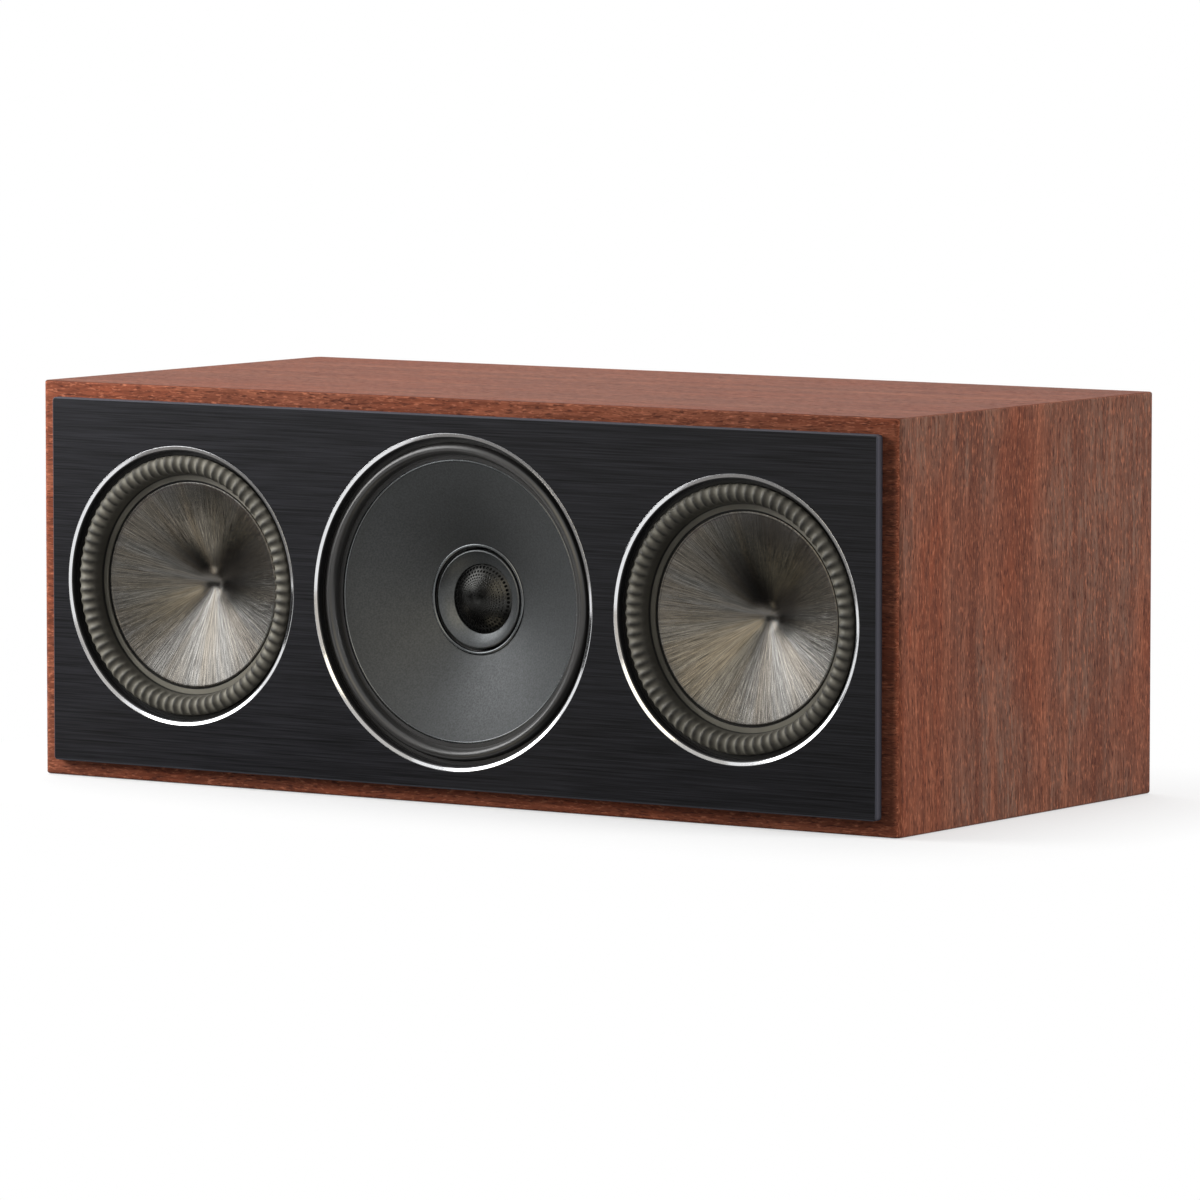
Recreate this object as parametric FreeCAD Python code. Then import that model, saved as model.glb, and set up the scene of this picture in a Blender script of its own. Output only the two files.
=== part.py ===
import FreeCAD, Part
import math
import os

# Horizontal three-way loudspeaker, in millimetres: X to the right, Y from front to back, Z up.
# The origin is the middle of the footprint, on the surface that the cabinet stands on.
# Depths are measured from the face of the front plate into the cabinet, radii from a driver's axis.

Vector = FreeCAD.Vector
parallel_tolerance = 1e-6

# Clearances
glue_gap = 0.1
running_gap = 0.05
passage_gap = 0.5

# Front plate and polished trim rings
plate_thickness = 5.0
plate_corner_radius = 2.0
plate_chamfer = 0.6
trim_width = 2.4
trim_bevel_depth = 0.8
trim_edge = 0.3
woofer_trim_radius = 73.8
mid_trim_radius = 87.4

# Layout of the front: the drivers set the plate, and the plate sets the cabinet
woofer_flange_margin = 5.2
mid_flange_margin = 4.0
flange_spacing = 3.7
plate_side_rim = 10.3
plate_top_rim = 9.2
frame_side_margin = 10.3
frame_top_margin = 8.4

# Cabinet
cabinet_depth = 250.0
panel_thickness = 18.0
corner_radius = 4.0
edge_radius = 1.2
partition_thickness = 12.0
partition_clearance = 3.9
wadding_thickness = 45.0
wadding_margin = 12.0
wadding_radius = 10.0

# Basket castings
flange_thickness = 4.0
basket_wall = 2.5
surround_step = 1.5
surround_seat = 4.0
spider_ledge = 4.5
window_count = 6
window_angle = 40.0
window_rim = 4.0

# Surrounds: rubber rolls glued to the basket outside and to the cone inside
rubber_thickness = 0.8
surround_inset = 0.5
surround_land = 2.0
roll_steps = 4
rib_count = 76
rib_height = 0.9

# Woofers
woofer_crest_inset = 4.7
woofer_crest_depth = 1.9
woofer_roll_width = 10.7
woofer_lip_width = 4.0
woofer_lip_depth = 10.4
woofer_apex_depth = 33.5
woofer_cone_bow = 0.25
woofer_apex_round = 0.06
woofer_spider_radius = 51.0
woofer_spider_depth = 42.0
woofer_basket_depth = 60.0
woofer_coil_radius = 18.4
woofer_coil_length = 16.0
woofer_plate_radius = 47.0
woofer_plate_thickness = 8.0
woofer_magnet_radius = 50.0
woofer_magnet_thickness = 18.0
woofer_vent_radius = 5.0

# Midrange, with a wide voice coil that clears the tweeter in its middle
mid_crest_inset = 3.4
mid_crest_depth = 1.7
mid_roll_width = 6.7
mid_lip_width = 2.2
mid_lip_depth = 6.8
mid_collar_width = 1.9
mid_collar_depth = 24.0
mid_collar_round = 0.8
mid_cone_bow = 0.15
mid_spider_radius = 62.0
mid_spider_depth = 38.0
mid_basket_depth = 50.0
mid_coil_radius = 27.1
mid_coil_length = 10.0
mid_plate_radius = 59.0
mid_plate_thickness = 7.0
mid_magnet_radius = 63.0
mid_magnet_thickness = 16.0
mid_vent_radius = 6.0

# Cones, voice coils and motors
cone_wall = 0.8
cone_points = 9
neck_length = 6.0
former_wall = 0.4
winding_thickness = 1.0
air_gap = 0.4
former_tail = 2.0
magnet_bore_margin = 7.0
spider_thickness = 0.6
spider_waves = 3
spider_wave_height = 1.8

# Tweeter
tweeter_radius = 25.7
tweeter_rim_depth = 24.2
tweeter_rim_round = 0.8
tweeter_mouth_radius = 18.3
tweeter_mouth_depth = 28.6
tweeter_ledge = 1.3
tweeter_clamp_depth = 31.6
tweeter_wall = 5.0
grille_rise = 6.0
grille_wall = 0.6
grille_rows = 5
grille_step_count = 6
grille_row_pitch = 2.55
grille_edge = 1.9
grille_hole_radius = 0.85
dome_radius = 12.7
dome_rise = 4.0
dome_wall = 0.3
tweeter_roll_width = 3.6
tweeter_roll_rise = 1.1
tweeter_film = 0.4
tweeter_lip = 0.6
tweeter_coil_length = 6.0
tweeter_winding = 0.4
tweeter_cap_thickness = 2.8
tweeter_magnet_thickness = 6.0

# Screws
screws_per_driver = 6
screw_radius = 1.75
screw_head_radius = 3.1
screw_head_depth = 1.8
screw_length = 14.0

# Terminal cup and binding posts
cup_width = 104.0
cup_height = 84.0
cup_corner = 8.0
cup_flange = 2.5
cup_rim = 14.0
cup_depth = 26.0
cup_draft = 4.0
cup_wall = 2.5
cup_screw_inset = 7.0
post_spacing = 19.05
post_boss_radius = 8.0
post_boss_height = 1.5
stud_radius = 3.0
stud_collar_radius = 5.5
stud_collar_thickness = 1.2
stud_tail = 10.0
stud_recess = 0.5
banana_radius = 2.05
banana_depth = 15.0
wire_hole_radius = 1.4
washer_thickness = 1.0
knob_radius = 6.5
knob_length = 18.0
knob_chamfer = 1.0
knob_flutes = 8
flute_radius = 1.2
flute_depth = 0.5
nut_across_flats = 10.0
nut_thickness = 4.0
nut_sides = 6

# Crossover
board_width = 150.0
board_length = 90.0
board_thickness = 1.6
board_clearance = 21.0
spacer_height = 8.0
spacer_radius = 4.0
spacer_inset = 8.0
inductor_radius = 20.0
inductor_bore = 8.0
inductor_height = 22.0
inductor_offset = 50.0
capacitor_radius = 8.0
capacitor_length = 40.0
capacitor_pitch = 18.0
capacitor_count = 3
resistor_width = 8.0
resistor_length = 30.0
resistor_count = 2
resistor_pitch = 36.0
resistor_inset = 4.0

# Leads and driver terminals
lead_radius = 2.0
lead_bend_share = 0.4
lead_lane = 15.0
lead_run = 22.0
lead_drop = 26.0
lead_landing = 10.0
terminal_width = 14.0
terminal_depth = 9.0
terminal_height = 10.0

# Sizes that follow from those above
woofer_flange_radius = woofer_trim_radius + woofer_flange_margin
mid_flange_radius = mid_trim_radius + mid_flange_margin
woofer_offset = woofer_flange_radius + mid_flange_radius + flange_spacing
plate_width = 2 * (woofer_offset + woofer_trim_radius + plate_side_rim)
plate_height = 2 * (mid_trim_radius + plate_top_rim)
cabinet_width = plate_width + 2 * frame_side_margin
cabinet_height = plate_height + 2 * frame_top_margin
axis_height = cabinet_height / 2
total_depth = plate_thickness + cabinet_depth + cup_flange
plate_front = -total_depth / 2
cabinet_front = plate_front + plate_thickness
cabinet_back = cabinet_front + cabinet_depth
back_inside = cabinet_back - panel_thickness
cup_face = cabinet_back + cup_flange
cup_floor = cup_face - cup_depth
cup_mouth_width = cup_width - 2 * cup_rim
cup_mouth_height = cup_height - 2 * cup_rim
surround_back = plate_thickness + surround_step
woofer_surround_radius = woofer_trim_radius - trim_width - surround_inset
mid_surround_radius = mid_trim_radius - trim_width - surround_inset
woofer_crest_radius = woofer_surround_radius - surround_land - woofer_crest_inset
woofer_roll_foot = woofer_surround_radius - surround_land - woofer_roll_width
woofer_cone_radius = woofer_roll_foot - woofer_lip_width
mid_crest_radius = mid_surround_radius - surround_land - mid_crest_inset
mid_roll_foot = mid_surround_radius - surround_land - mid_roll_width
mid_cone_radius = mid_roll_foot - mid_lip_width
woofer_mouth = woofer_surround_radius - surround_seat
mid_mouth = mid_surround_radius - surround_seat
woofer_coil_outside = woofer_coil_radius + former_wall + winding_thickness
mid_coil_outside = mid_coil_radius + former_wall + winding_thickness
partition_inside = mid_mouth + basket_wall + partition_clearance
partition_outside = partition_inside + partition_thickness
woofer_lead_depth = (woofer_spider_depth + woofer_basket_depth) / 2
mid_lead_depth = (mid_spider_depth + mid_basket_depth) / 2
mid_motor_back = mid_basket_depth + 2 * mid_plate_thickness + mid_magnet_thickness
board_middle = back_inside - board_clearance - board_length / 2
board_top = panel_thickness + spacer_height + board_thickness
tweeter_clamp_back = tweeter_clamp_depth + tweeter_film
tweeter_coil_inside = dome_radius - dome_wall
tweeter_coil_outside = dome_radius + tweeter_winding


def edges_through(outline, place):
    """Closed outline of points: a pair of points is an arc by its middle and end, more are a spline."""
    edges = []
    here = place(*outline[0])
    for step in outline[1:] + outline[:1]:
        points = [place(*point) for point in step] if isinstance(step[0], tuple) else [place(*step)]
        if len(points) == 1:
            edges.append(Part.LineSegment(here, points[0]).toShape())
        elif len(points) == 2:
            edges.append(Part.Arc(here, points[0], points[1]).toShape())
        else:
            curve = Part.BSplineCurve()
            curve.interpolate([here] + points)
            edges.append(curve.toShape())
        here = points[-1]
    return edges


def turned(outline, x=0.0, z=axis_height, start=plate_front, toward=1, angle=360.0):
    """Solid turned about an axis along Y from an outline of (radius, depth) points."""

    def place(radius, depth):
        return Vector(x + radius, start + toward * depth, z)

    section = Part.Face(Part.Wire(edges_through(outline, place)))
    return section.revolve(Vector(x, 0, z), Vector(0, 1, 0), angle)


def ring(inner, outer, front, thickness, x=0.0):
    """Flat ring or tube on a driver's axis."""
    back = front + thickness
    return turned([(inner, front), (outer, front), (outer, back), (inner, back)], x)


def rod(radius, front, back, x=0.0, z=axis_height):
    """Cylinder along Y between two places on the Y axis."""
    return Part.makeCylinder(radius, back - front, Vector(x, front, z), Vector(0, 1, 0))


def block(low, high):
    """Box between two opposite corners."""
    return Part.makeBox(high[0] - low[0], high[1] - low[1], high[2] - low[2], Vector(*low))


def edges_along(solid, direction):
    """Straight edges of a solid that run along a direction."""
    straight = [edge for edge in solid.Edges if isinstance(edge.Curve, Part.Line)]
    return [edge for edge in straight
            if abs(edge.Curve.Direction.dot(direction)) > 1 - parallel_tolerance]


def hexahedron(first, second):
    """Solid with flat faces between two four-cornered outlines."""
    sides = [[first[k], first[k - 1], second[k - 1], second[k]] for k in range(len(first))]
    faces = [Part.Face(Part.makePolygon(corners + corners[:1])) for corners in [first, second] + sides]
    skin = Part.Compound(faces)
    skin.sewShape()
    return Part.Solid(skin.Shells[0])


def around(count, phase=0.0):
    """Angles of a round pattern, in radians."""
    return [phase + 2 * math.pi * k / count for k in range(count)]


# Cabinet

def cabinet_block():
    """Outside of the cabinet: round upright corners, lightly eased top and bottom."""
    low = (-cabinet_width / 2, cabinet_front, 0)
    high = (cabinet_width / 2, cabinet_back, cabinet_height)
    outside = block(low, high)
    outside = outside.makeFillet(corner_radius, edges_along(outside, Vector(0, 0, 1)))
    level = [edge for edge in outside.Edges if edge.BoundBox.ZLength < edge_radius / 2]
    return outside.makeFillet(edge_radius, level)


def panel(outside, axis, side):
    """Board cut from the cabinet's outside, mitred at its four edges."""
    low = (-cabinet_width / 2, cabinet_front, 0)
    high = (cabinet_width / 2, cabinet_back, cabinet_height)
    loops = []
    for inset in (0, panel_thickness):
        near = [value + inset for value in low]
        far = [value - inset for value in high]
        level = (near if side < 0 else far)[axis]
        across, up = [k for k in range(3) if k != axis]
        loop = []
        for first, second in ((near, near), (far, near), (far, far), (near, far)):
            corner = [0, 0, 0]
            corner[axis] = level
            corner[across] = first[across]
            corner[up] = second[up]
            loop.append(Vector(*corner))
        loops.append(loop)
    return outside.common(hexahedron(*loops))


def drivers():
    """Each driver's place, flange radius, surround seat radius and basket mouth."""
    woofer = (woofer_flange_radius, woofer_surround_radius + glue_gap, woofer_mouth)
    midrange = (mid_flange_radius, mid_surround_radius + glue_gap, mid_mouth)
    return [(-woofer_offset, *woofer), (0.0, *midrange), (woofer_offset, *woofer)]


def driver_screw_places():
    """Middles of the screw heads that hold the driver flanges to the baffle."""
    places = []
    for x, flange_radius, seat_radius, _ in drivers():
        circle = (flange_radius + seat_radius) / 2
        places += [(x + circle * math.cos(angle), axis_height + circle * math.sin(angle))
                   for angle in around(screws_per_driver, math.pi / screws_per_driver)]
    return places


def cup_screw_places():
    """Middles of the screw heads at the corners of the terminal cup."""
    across = cup_width / 2 - cup_screw_inset
    up = cup_height / 2 - cup_screw_inset
    return [(sx * across, axis_height + sz * up) for sx in (-1, 1) for sz in (-1, 1)]


def screw(x, z, start, toward, gap=0.0):
    """Countersunk wood screw, or its hole when a gap is given."""
    shank = screw_radius + gap
    end = screw_length + gap
    outline = [(0, 0), (screw_head_radius + gap, 0), (shank, screw_head_depth), (shank, end), (0, end)]
    return turned(outline, x, z, start, toward)


def wood_screws():
    front = [screw(x, z, cabinet_front, 1) for x, z in driver_screw_places()]
    back = [screw(x, z, cup_face, -1) for x, z in cup_screw_places()]
    return Part.Compound(front + back)


def front_baffle(board):
    """Front panel with a rebated hole and screw holes for each driver."""
    cuts = []
    for x, flange_radius, _, mouth in drivers():
        cuts.append(rod(flange_radius + glue_gap, cabinet_front, cabinet_front + flange_thickness, x))
        hole = mouth + basket_wall + passage_gap
        cuts.append(rod(hole, cabinet_front, cabinet_front + panel_thickness, x))
    cuts += [screw(x, z, cabinet_front, 1, glue_gap) for x, z in driver_screw_places()]
    return board.cut(cuts)


def back_panel(board):
    """Back panel with the opening and screw holes for the terminal cup."""
    width = cup_mouth_width + 2 * cup_wall + 2 * passage_gap
    height = cup_mouth_height + 2 * cup_wall + 2 * passage_gap
    opening = prism(rounded_rectangle(width, height, cup_corner, back_inside), panel_thickness)
    holes = [screw(x, z, cup_face, -1, glue_gap) for x, z in cup_screw_places()]
    return board.cut([opening] + holes)


def partition(side):
    """Wall between the midrange chamber and a woofer chamber, with a hole for the woofer's lead."""
    near, far = sorted((side * partition_inside, side * partition_outside))
    low = (near, cabinet_front + panel_thickness, panel_thickness)
    high = (far, back_inside, cabinet_height - panel_thickness)
    hole = Part.makeCylinder(lead_radius + passage_gap, partition_thickness,
                             Vector(near, plate_front + woofer_lead_depth, axis_height), Vector(1, 0, 0))
    return block(low, high).cut(hole)


def wadding():
    """Damping pads: one on the back of each woofer chamber and one under the top of the middle."""
    low_z = panel_thickness + wadding_margin
    high_z = cabinet_height - panel_thickness
    side_x = cabinet_width / 2 - panel_thickness - wadding_margin
    front_y = back_inside - wadding_thickness
    near_x = partition_outside + wadding_margin
    pads = [block((near_x, front_y, low_z), (side_x, back_inside, high_z - wadding_margin)),
            block((-side_x, front_y, low_z), (-near_x, back_inside, high_z - wadding_margin))]
    middle_x = partition_inside - wadding_margin
    middle_front = board_middle - board_length / 2
    middle_back = cup_floor - cup_wall - stud_tail - wadding_margin
    pads.append(block((-middle_x, middle_front, high_z - wadding_thickness), (middle_x, middle_back, high_z)))
    rounded = [pad.makeFillet(wadding_radius, edges_along(pad, Vector(0, 0, 1))) for pad in pads]
    return Part.Compound(rounded)


# Front plate and trim rings

def front_plate():
    """Thin plate with a chamfered front edge and a hole for each trim ring."""
    low = (-plate_width / 2, plate_front, frame_top_margin)
    high = (plate_width / 2, cabinet_front, frame_top_margin + plate_height)
    plate = block(low, high)
    plate = plate.makeFillet(plate_corner_radius, edges_along(plate, Vector(0, 1, 0)))
    rim = [edge for edge in plate.Edges if edge.BoundBox.YMax < plate_front + plate_chamfer / 2]
    plate = plate.makeChamfer(plate_chamfer, rim)
    radii = ((-woofer_offset, woofer_trim_radius), (0, mid_trim_radius), (woofer_offset, woofer_trim_radius))
    return plate.cut([rod(radius + glue_gap, plate_front, cabinet_front, x) for x, radius in radii])


def trim_ring(x, radius):
    """Ring set flush in the plate, with a shallow bevel towards the driver."""
    inner = radius - trim_width
    return turned([(radius, 0), (radius, plate_thickness), (inner, plate_thickness),
                   (inner, trim_bevel_depth), (radius - trim_edge, 0)], x)


# Parts of a driver

def basket(x, flange_radius, seat_radius, mouth, shoulder, shoulder_depth, back_depth, bore):
    """Cast frame: screwed flange, windowed cone of arms, spider ledge and motor seat."""
    flange_back = plate_thickness + flange_thickness
    ledge = shoulder - spider_ledge
    body = turned([
        (seat_radius, plate_thickness), (flange_radius, plate_thickness), (flange_radius, flange_back),
        (mouth + basket_wall, flange_back), (shoulder + basket_wall, shoulder_depth),
        (shoulder + basket_wall, back_depth), (bore, back_depth), (bore, back_depth - basket_wall),
        (shoulder, back_depth - basket_wall), (shoulder, shoulder_depth + basket_wall),
        (ledge, shoulder_depth + basket_wall), (ledge, shoulder_depth), (shoulder, shoulder_depth),
        (mouth, flange_back), (mouth, surround_back), (seat_radius, surround_back)], x)
    window_front = flange_back + window_rim
    window_back = shoulder_depth - window_rim
    reach = mouth + basket_wall + passage_gap
    window = turned([(ledge, window_front), (reach, window_front), (reach, window_back),
                     (ledge, window_back)], x, angle=window_angle)
    axis_point = Vector(x, 0, axis_height)
    cuts = []
    for angle in around(window_count):
        copy = window.copy()
        copy.rotate(axis_point, Vector(0, 1, 0), math.degrees(angle) - window_angle / 2)
        cuts.append(copy)
    circle = (flange_radius + seat_radius) / 2
    for angle in around(screws_per_driver, math.pi / screws_per_driver):
        place = (x + circle * math.cos(angle), axis_height + circle * math.sin(angle))
        cuts.append(screw(*place, cabinet_front, 1, glue_gap))
    return body.cut(cuts)


def roll(foot, crest):
    """Quarter of an ellipse from a foot, where the wall stands upright, to a crest, where it lies flat."""
    points = []
    for k in range(roll_steps + 1):
        turn = math.pi / 2 * k / roll_steps
        points.append((crest[0] + (foot[0] - crest[0]) * math.cos(turn),
                       foot[1] + (crest[1] - foot[1]) * math.sin(turn)))
    return points


def arch(outer_foot, crest, inner_foot):
    """The two splines of a roll, from its outer foot over the crest to its inner foot."""
    rise = roll(outer_foot, crest)
    fall = roll(inner_foot, crest)[::-1]
    return tuple(rise[1:]), tuple(fall[1:])


def under_arch(outer_foot, crest, inner_foot, outer_back):
    """The back of a roll, one rubber thickness under its front, from the inner foot outwards."""
    back = ((outer_foot[0] - rubber_thickness, outer_back), (crest[0], crest[1] + rubber_thickness),
            (inner_foot[0] + rubber_thickness, inner_foot[1] + rubber_thickness))
    fall, rise = arch(*back[::-1])
    return back[2], fall, rise


def smooth_surround(x, radius, crest, foot_radius, lip_radius, lip_depth):
    """Plain half roll between the basket and the cone."""
    land = (radius - surround_land, surround_back - rubber_thickness)
    foot = (foot_radius, lip_depth)
    rise, fall = arch(land, crest, foot)
    inner_back, back_rise, back_fall = under_arch(land, crest, foot, surround_back)
    lip_back = lip_depth + rubber_thickness
    return turned([(radius, land[1]), land, rise, fall, (lip_radius, lip_depth), (lip_radius, lip_back),
                   inner_back, back_rise, back_fall, (radius, surround_back)], x)


def ribbed_surround(x, radius, crest, foot_radius, lip_radius, lip_depth):
    """Half roll whose front is pleated into radial ribs that fade out at both feet."""
    land = (radius - surround_land, surround_back - rubber_thickness)
    foot = (foot_radius, lip_depth)
    valley = (crest[0], crest[1] + rib_height)

    def place(point, angle):
        across = point[0] * math.cos(angle)
        up = point[0] * math.sin(angle)
        return Vector(x + across, plate_front + point[1], axis_height + up)

    def spline(points, angle):
        curve = Part.BSplineCurve()
        curve.interpolate([place(point, angle) for point in points])
        return curve.toShape()

    angles = around(2 * rib_count)
    profiles = []
    for k, angle in enumerate(angles):
        rise, fall = arch(land, crest if k % 2 else valley, foot)
        profiles.append((spline((land,) + rise, angle), spline((rise[-1],) + fall, angle)))
    faces = []
    for k in range(len(profiles)):
        for before, after in zip(profiles[k - 1], profiles[k]):
            faces.append(Part.makeRuledSurface(before, after))
    for edge_point, circle_radius in ((land, radius), (foot, lip_radius)):
        corners = [place(edge_point, angle) for angle in angles]
        polygon = Part.makePolygon(corners + corners[:1])
        middle = Vector(x, plate_front + edge_point[1], axis_height)
        circle = Part.Wire(Part.makeCircle(circle_radius, middle, Vector(0, 1, 0)))
        outer, inner = (circle, polygon) if circle_radius > edge_point[0] else (polygon, circle)
        faces.append(Part.Face([outer, inner]))
    inner_back, back_rise, back_fall = under_arch(land, valley, foot, surround_back)
    lip_back = lip_depth + rubber_thickness
    outline = [(lip_radius, lip_depth), (lip_radius, lip_back), inner_back, back_rise, back_fall,
               (radius, surround_back), (radius, land[1])]
    open_edges = edges_through(outline, lambda *point: place(point, 0.0))[:-1]
    faces += Part.Wire(open_edges).revolve(Vector(x, 0, axis_height), Vector(0, 1, 0), 360).Faces
    skin = Part.Compound(faces)
    skin.sewShape()
    return Part.Solid(skin.Shells[0])


def flare(inner, outer, bow, rounding=0.0):
    """Cone wall from edge to middle: bow steepens it towards the middle, rounding flattens its end."""
    points = []
    for k in range(cone_points):
        share = 1 - k / (cone_points - 1)
        rise = (1 + bow) * share - bow * share * share
        rise = (math.hypot(rise, rounding) - rounding * (1 - rise)) / math.hypot(1, rounding)
        points.append((inner[0] + (outer[0] - inner[0]) * share, inner[1] + (outer[1] - inner[1]) * rise))
    return points


def behind(points, distance):
    """The same points, moved further into the cabinet."""
    return [(radius, depth + distance) for radius, depth in points]


def depth_on(points, radius):
    """Depth of a cone wall at a radius, read between its points."""
    for (r0, d0), (r1, d1) in zip(points, points[1:]):
        if r1 <= radius <= r0:
            return d0 + (d1 - d0) * (radius - r0) / (r1 - r0)
    raise ValueError("the radius is off the cone")


def woofer_wall():
    """Front of a woofer cone inside its flat rim."""
    rim_depth = woofer_lip_depth + rubber_thickness
    apex = (0.0, woofer_apex_depth)
    return flare(apex, (woofer_cone_radius, rim_depth), woofer_cone_bow, woofer_apex_round)


def woofer_cone(x):
    """One-piece dish with a flat rim under the surround's lip and a neck for the voice coil."""
    front = woofer_wall()
    back = behind(front, cone_wall)
    rim_depth = woofer_lip_depth + rubber_thickness
    dish = turned([(woofer_roll_foot, rim_depth), front[0], tuple(front[1:]), back[-1],
                   tuple(back[-2::-1]), (woofer_roll_foot, rim_depth + cone_wall)], x)
    neck_inside = woofer_coil_radius + former_wall + glue_gap
    neck_front = depth_on(front, neck_inside) + cone_wall / 2
    return dish.fuse(ring(neck_inside, neck_inside + cone_wall, neck_front, neck_length, x))


def mid_cone():
    """Annular cone with a flat rim outside and a rounded collar over the voice coil inside."""
    rim_depth = mid_lip_depth + rubber_thickness
    inside = mid_coil_radius
    collar = inside + mid_collar_width
    front = flare((collar, mid_collar_depth), (mid_cone_radius, rim_depth), mid_cone_bow)
    neck_inside = inside + former_wall + glue_gap
    neck_outside = neck_inside + cone_wall
    neck_back = mid_collar_depth + neck_length
    lip_back = mid_collar_depth + cone_wall
    back = behind(front, cone_wall)
    collar_top = ((inside + collar) / 2, mid_collar_depth - mid_collar_round)
    return turned([(mid_roll_foot, rim_depth), front[0], tuple(front[1:]),
                   (collar_top, (inside, mid_collar_depth)), (inside, lip_back), (neck_inside, lip_back),
                   (neck_inside, neck_back), (neck_outside, neck_back),
                   (neck_outside, depth_on(back, collar)), back[-1], tuple(back[-2::-1]),
                   (mid_roll_foot, rim_depth + cone_wall)])


def voice_coil(inside, front, gap_front, gap_thickness, coil_length, x=0.0):
    """Former tube with its winding centred in the magnetic gap."""
    middle = gap_front + gap_thickness / 2
    outside = inside + former_wall
    back = middle + coil_length / 2 + former_tail
    wound = outside + winding_thickness
    coil_front = middle - coil_length / 2
    coil_back = middle + coil_length / 2
    return turned([(inside, front), (outside, front), (outside, coil_front), (wound, coil_front),
                   (wound, coil_back), (outside, coil_back), (outside, back), (inside, back)], x)


def spider(inside, outside, depth, x=0.0):
    """Corrugated disc from the voice coil to the basket's ledge, folded into half waves that are arcs."""
    front = depth - spider_thickness
    waves_out = outside - spider_ledge
    folds = 2 * spider_waves
    half_wave = (waves_out - inside - spider_ledge) / folds

    def crest(k, plane):
        return waves_out - (k + 0.5) * half_wave, plane + (-1) ** k * spider_wave_height / 2

    inward = [(crest(k, front), (waves_out - (k + 1) * half_wave, front)) for k in range(folds)]
    outward = [(crest(k, depth), (waves_out - k * half_wave, depth)) for k in reversed(range(folds))]
    return turned([(outside, front), (waves_out, front)] + inward + [(inside, front), (inside, depth),
                  (inside + spider_ledge, depth)] + outward + [(outside, depth)], x)


def yoke(pole_radius, plate_radius, pole_front, plate_front_depth, plate_depth, vent, x=0.0):
    """Back plate and vented pole in one piece."""
    back = plate_front_depth + plate_depth
    return turned([(vent, pole_front), (pole_radius, pole_front), (pole_radius, plate_front_depth),
                   (plate_radius, plate_front_depth), (plate_radius, back), (vent, back)], x)


def woofer(side):
    """Every piece of one woofer except its terminal and screws."""
    x = side * woofer_offset
    crest = (woofer_crest_radius, woofer_crest_depth)
    bore = woofer_coil_outside + air_gap
    magnet_front = woofer_basket_depth + woofer_plate_thickness
    magnet_back = magnet_front + woofer_magnet_thickness
    coil_front = depth_on(woofer_wall(), woofer_coil_radius) + cone_wall + glue_gap
    return {
        "basket": basket(x, woofer_flange_radius, woofer_surround_radius + glue_gap, woofer_mouth,
                         woofer_spider_radius, woofer_spider_depth, woofer_basket_depth, bore + air_gap),
        "surround": ribbed_surround(x, woofer_surround_radius, crest, woofer_roll_foot, woofer_cone_radius,
                                    woofer_lip_depth),
        "cone": woofer_cone(x),
        "voice_coil": voice_coil(woofer_coil_radius, coil_front, woofer_basket_depth, woofer_plate_thickness,
                                 woofer_coil_length, x),
        "spider": spider(woofer_coil_radius + former_wall + glue_gap, woofer_spider_radius - glue_gap,
                         woofer_spider_depth, x),
        "top_plate": ring(bore, woofer_plate_radius, woofer_basket_depth, woofer_plate_thickness, x),
        "magnet": ring(bore + magnet_bore_margin, woofer_magnet_radius, magnet_front,
                       woofer_magnet_thickness, x),
        "yoke": yoke(woofer_coil_radius - air_gap, woofer_plate_radius, woofer_basket_depth, magnet_back,
                     woofer_plate_thickness, woofer_vent_radius, x),
    }


def midrange():
    """Every piece of the midrange except its terminal and screws."""
    crest = (mid_crest_radius, mid_crest_depth)
    bore = mid_coil_outside + air_gap
    magnet_front = mid_basket_depth + mid_plate_thickness
    magnet_back = magnet_front + mid_magnet_thickness
    coil_front = mid_collar_depth + cone_wall + glue_gap
    return {
        "basket": basket(0.0, mid_flange_radius, mid_surround_radius + glue_gap, mid_mouth,
                         mid_spider_radius, mid_spider_depth, mid_basket_depth, bore + air_gap),
        "surround": smooth_surround(0.0, mid_surround_radius, crest, mid_roll_foot, mid_cone_radius,
                                    mid_lip_depth),
        "cone": mid_cone(),
        "voice_coil": voice_coil(mid_coil_radius, coil_front, mid_basket_depth, mid_plate_thickness,
                                 mid_coil_length),
        "spider": spider(mid_coil_radius + former_wall + glue_gap, mid_spider_radius - glue_gap,
                         mid_spider_depth),
        "top_plate": ring(bore, mid_plate_radius, mid_basket_depth, mid_plate_thickness),
        "magnet": ring(bore + magnet_bore_margin, mid_magnet_radius, magnet_front, mid_magnet_thickness),
        "yoke": yoke(mid_coil_radius - air_gap, mid_plate_radius, mid_basket_depth, magnet_back,
                     mid_plate_thickness, mid_vent_radius),
    }


# Tweeter

def tweeter_housing():
    """Housing on the midrange's pole, with a short flare in front and a bore for the motor."""
    rim = tweeter_radius - tweeter_rim_round
    seat = tweeter_mouth_radius - tweeter_ledge
    ledge_depth = tweeter_mouth_depth + grille_wall
    bore = tweeter_radius - tweeter_wall
    rim_corner = tweeter_rim_round * (1 - math.sqrt(0.5))
    bend_depth = (tweeter_rim_depth + tweeter_mouth_depth + tweeter_rim_round) / 2
    bend = ((rim + tweeter_mouth_radius) / 2, bend_depth)
    return turned([(tweeter_radius, tweeter_rim_depth + tweeter_rim_round),
                   ((tweeter_radius - rim_corner, tweeter_rim_depth + rim_corner), (rim, tweeter_rim_depth)),
                   (bend, (tweeter_mouth_radius, tweeter_mouth_depth)), (tweeter_mouth_radius, ledge_depth),
                   (seat, ledge_depth), (seat, tweeter_clamp_depth), (bore, tweeter_clamp_depth),
                   (bore, mid_basket_depth), (tweeter_radius, mid_basket_depth)])


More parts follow.
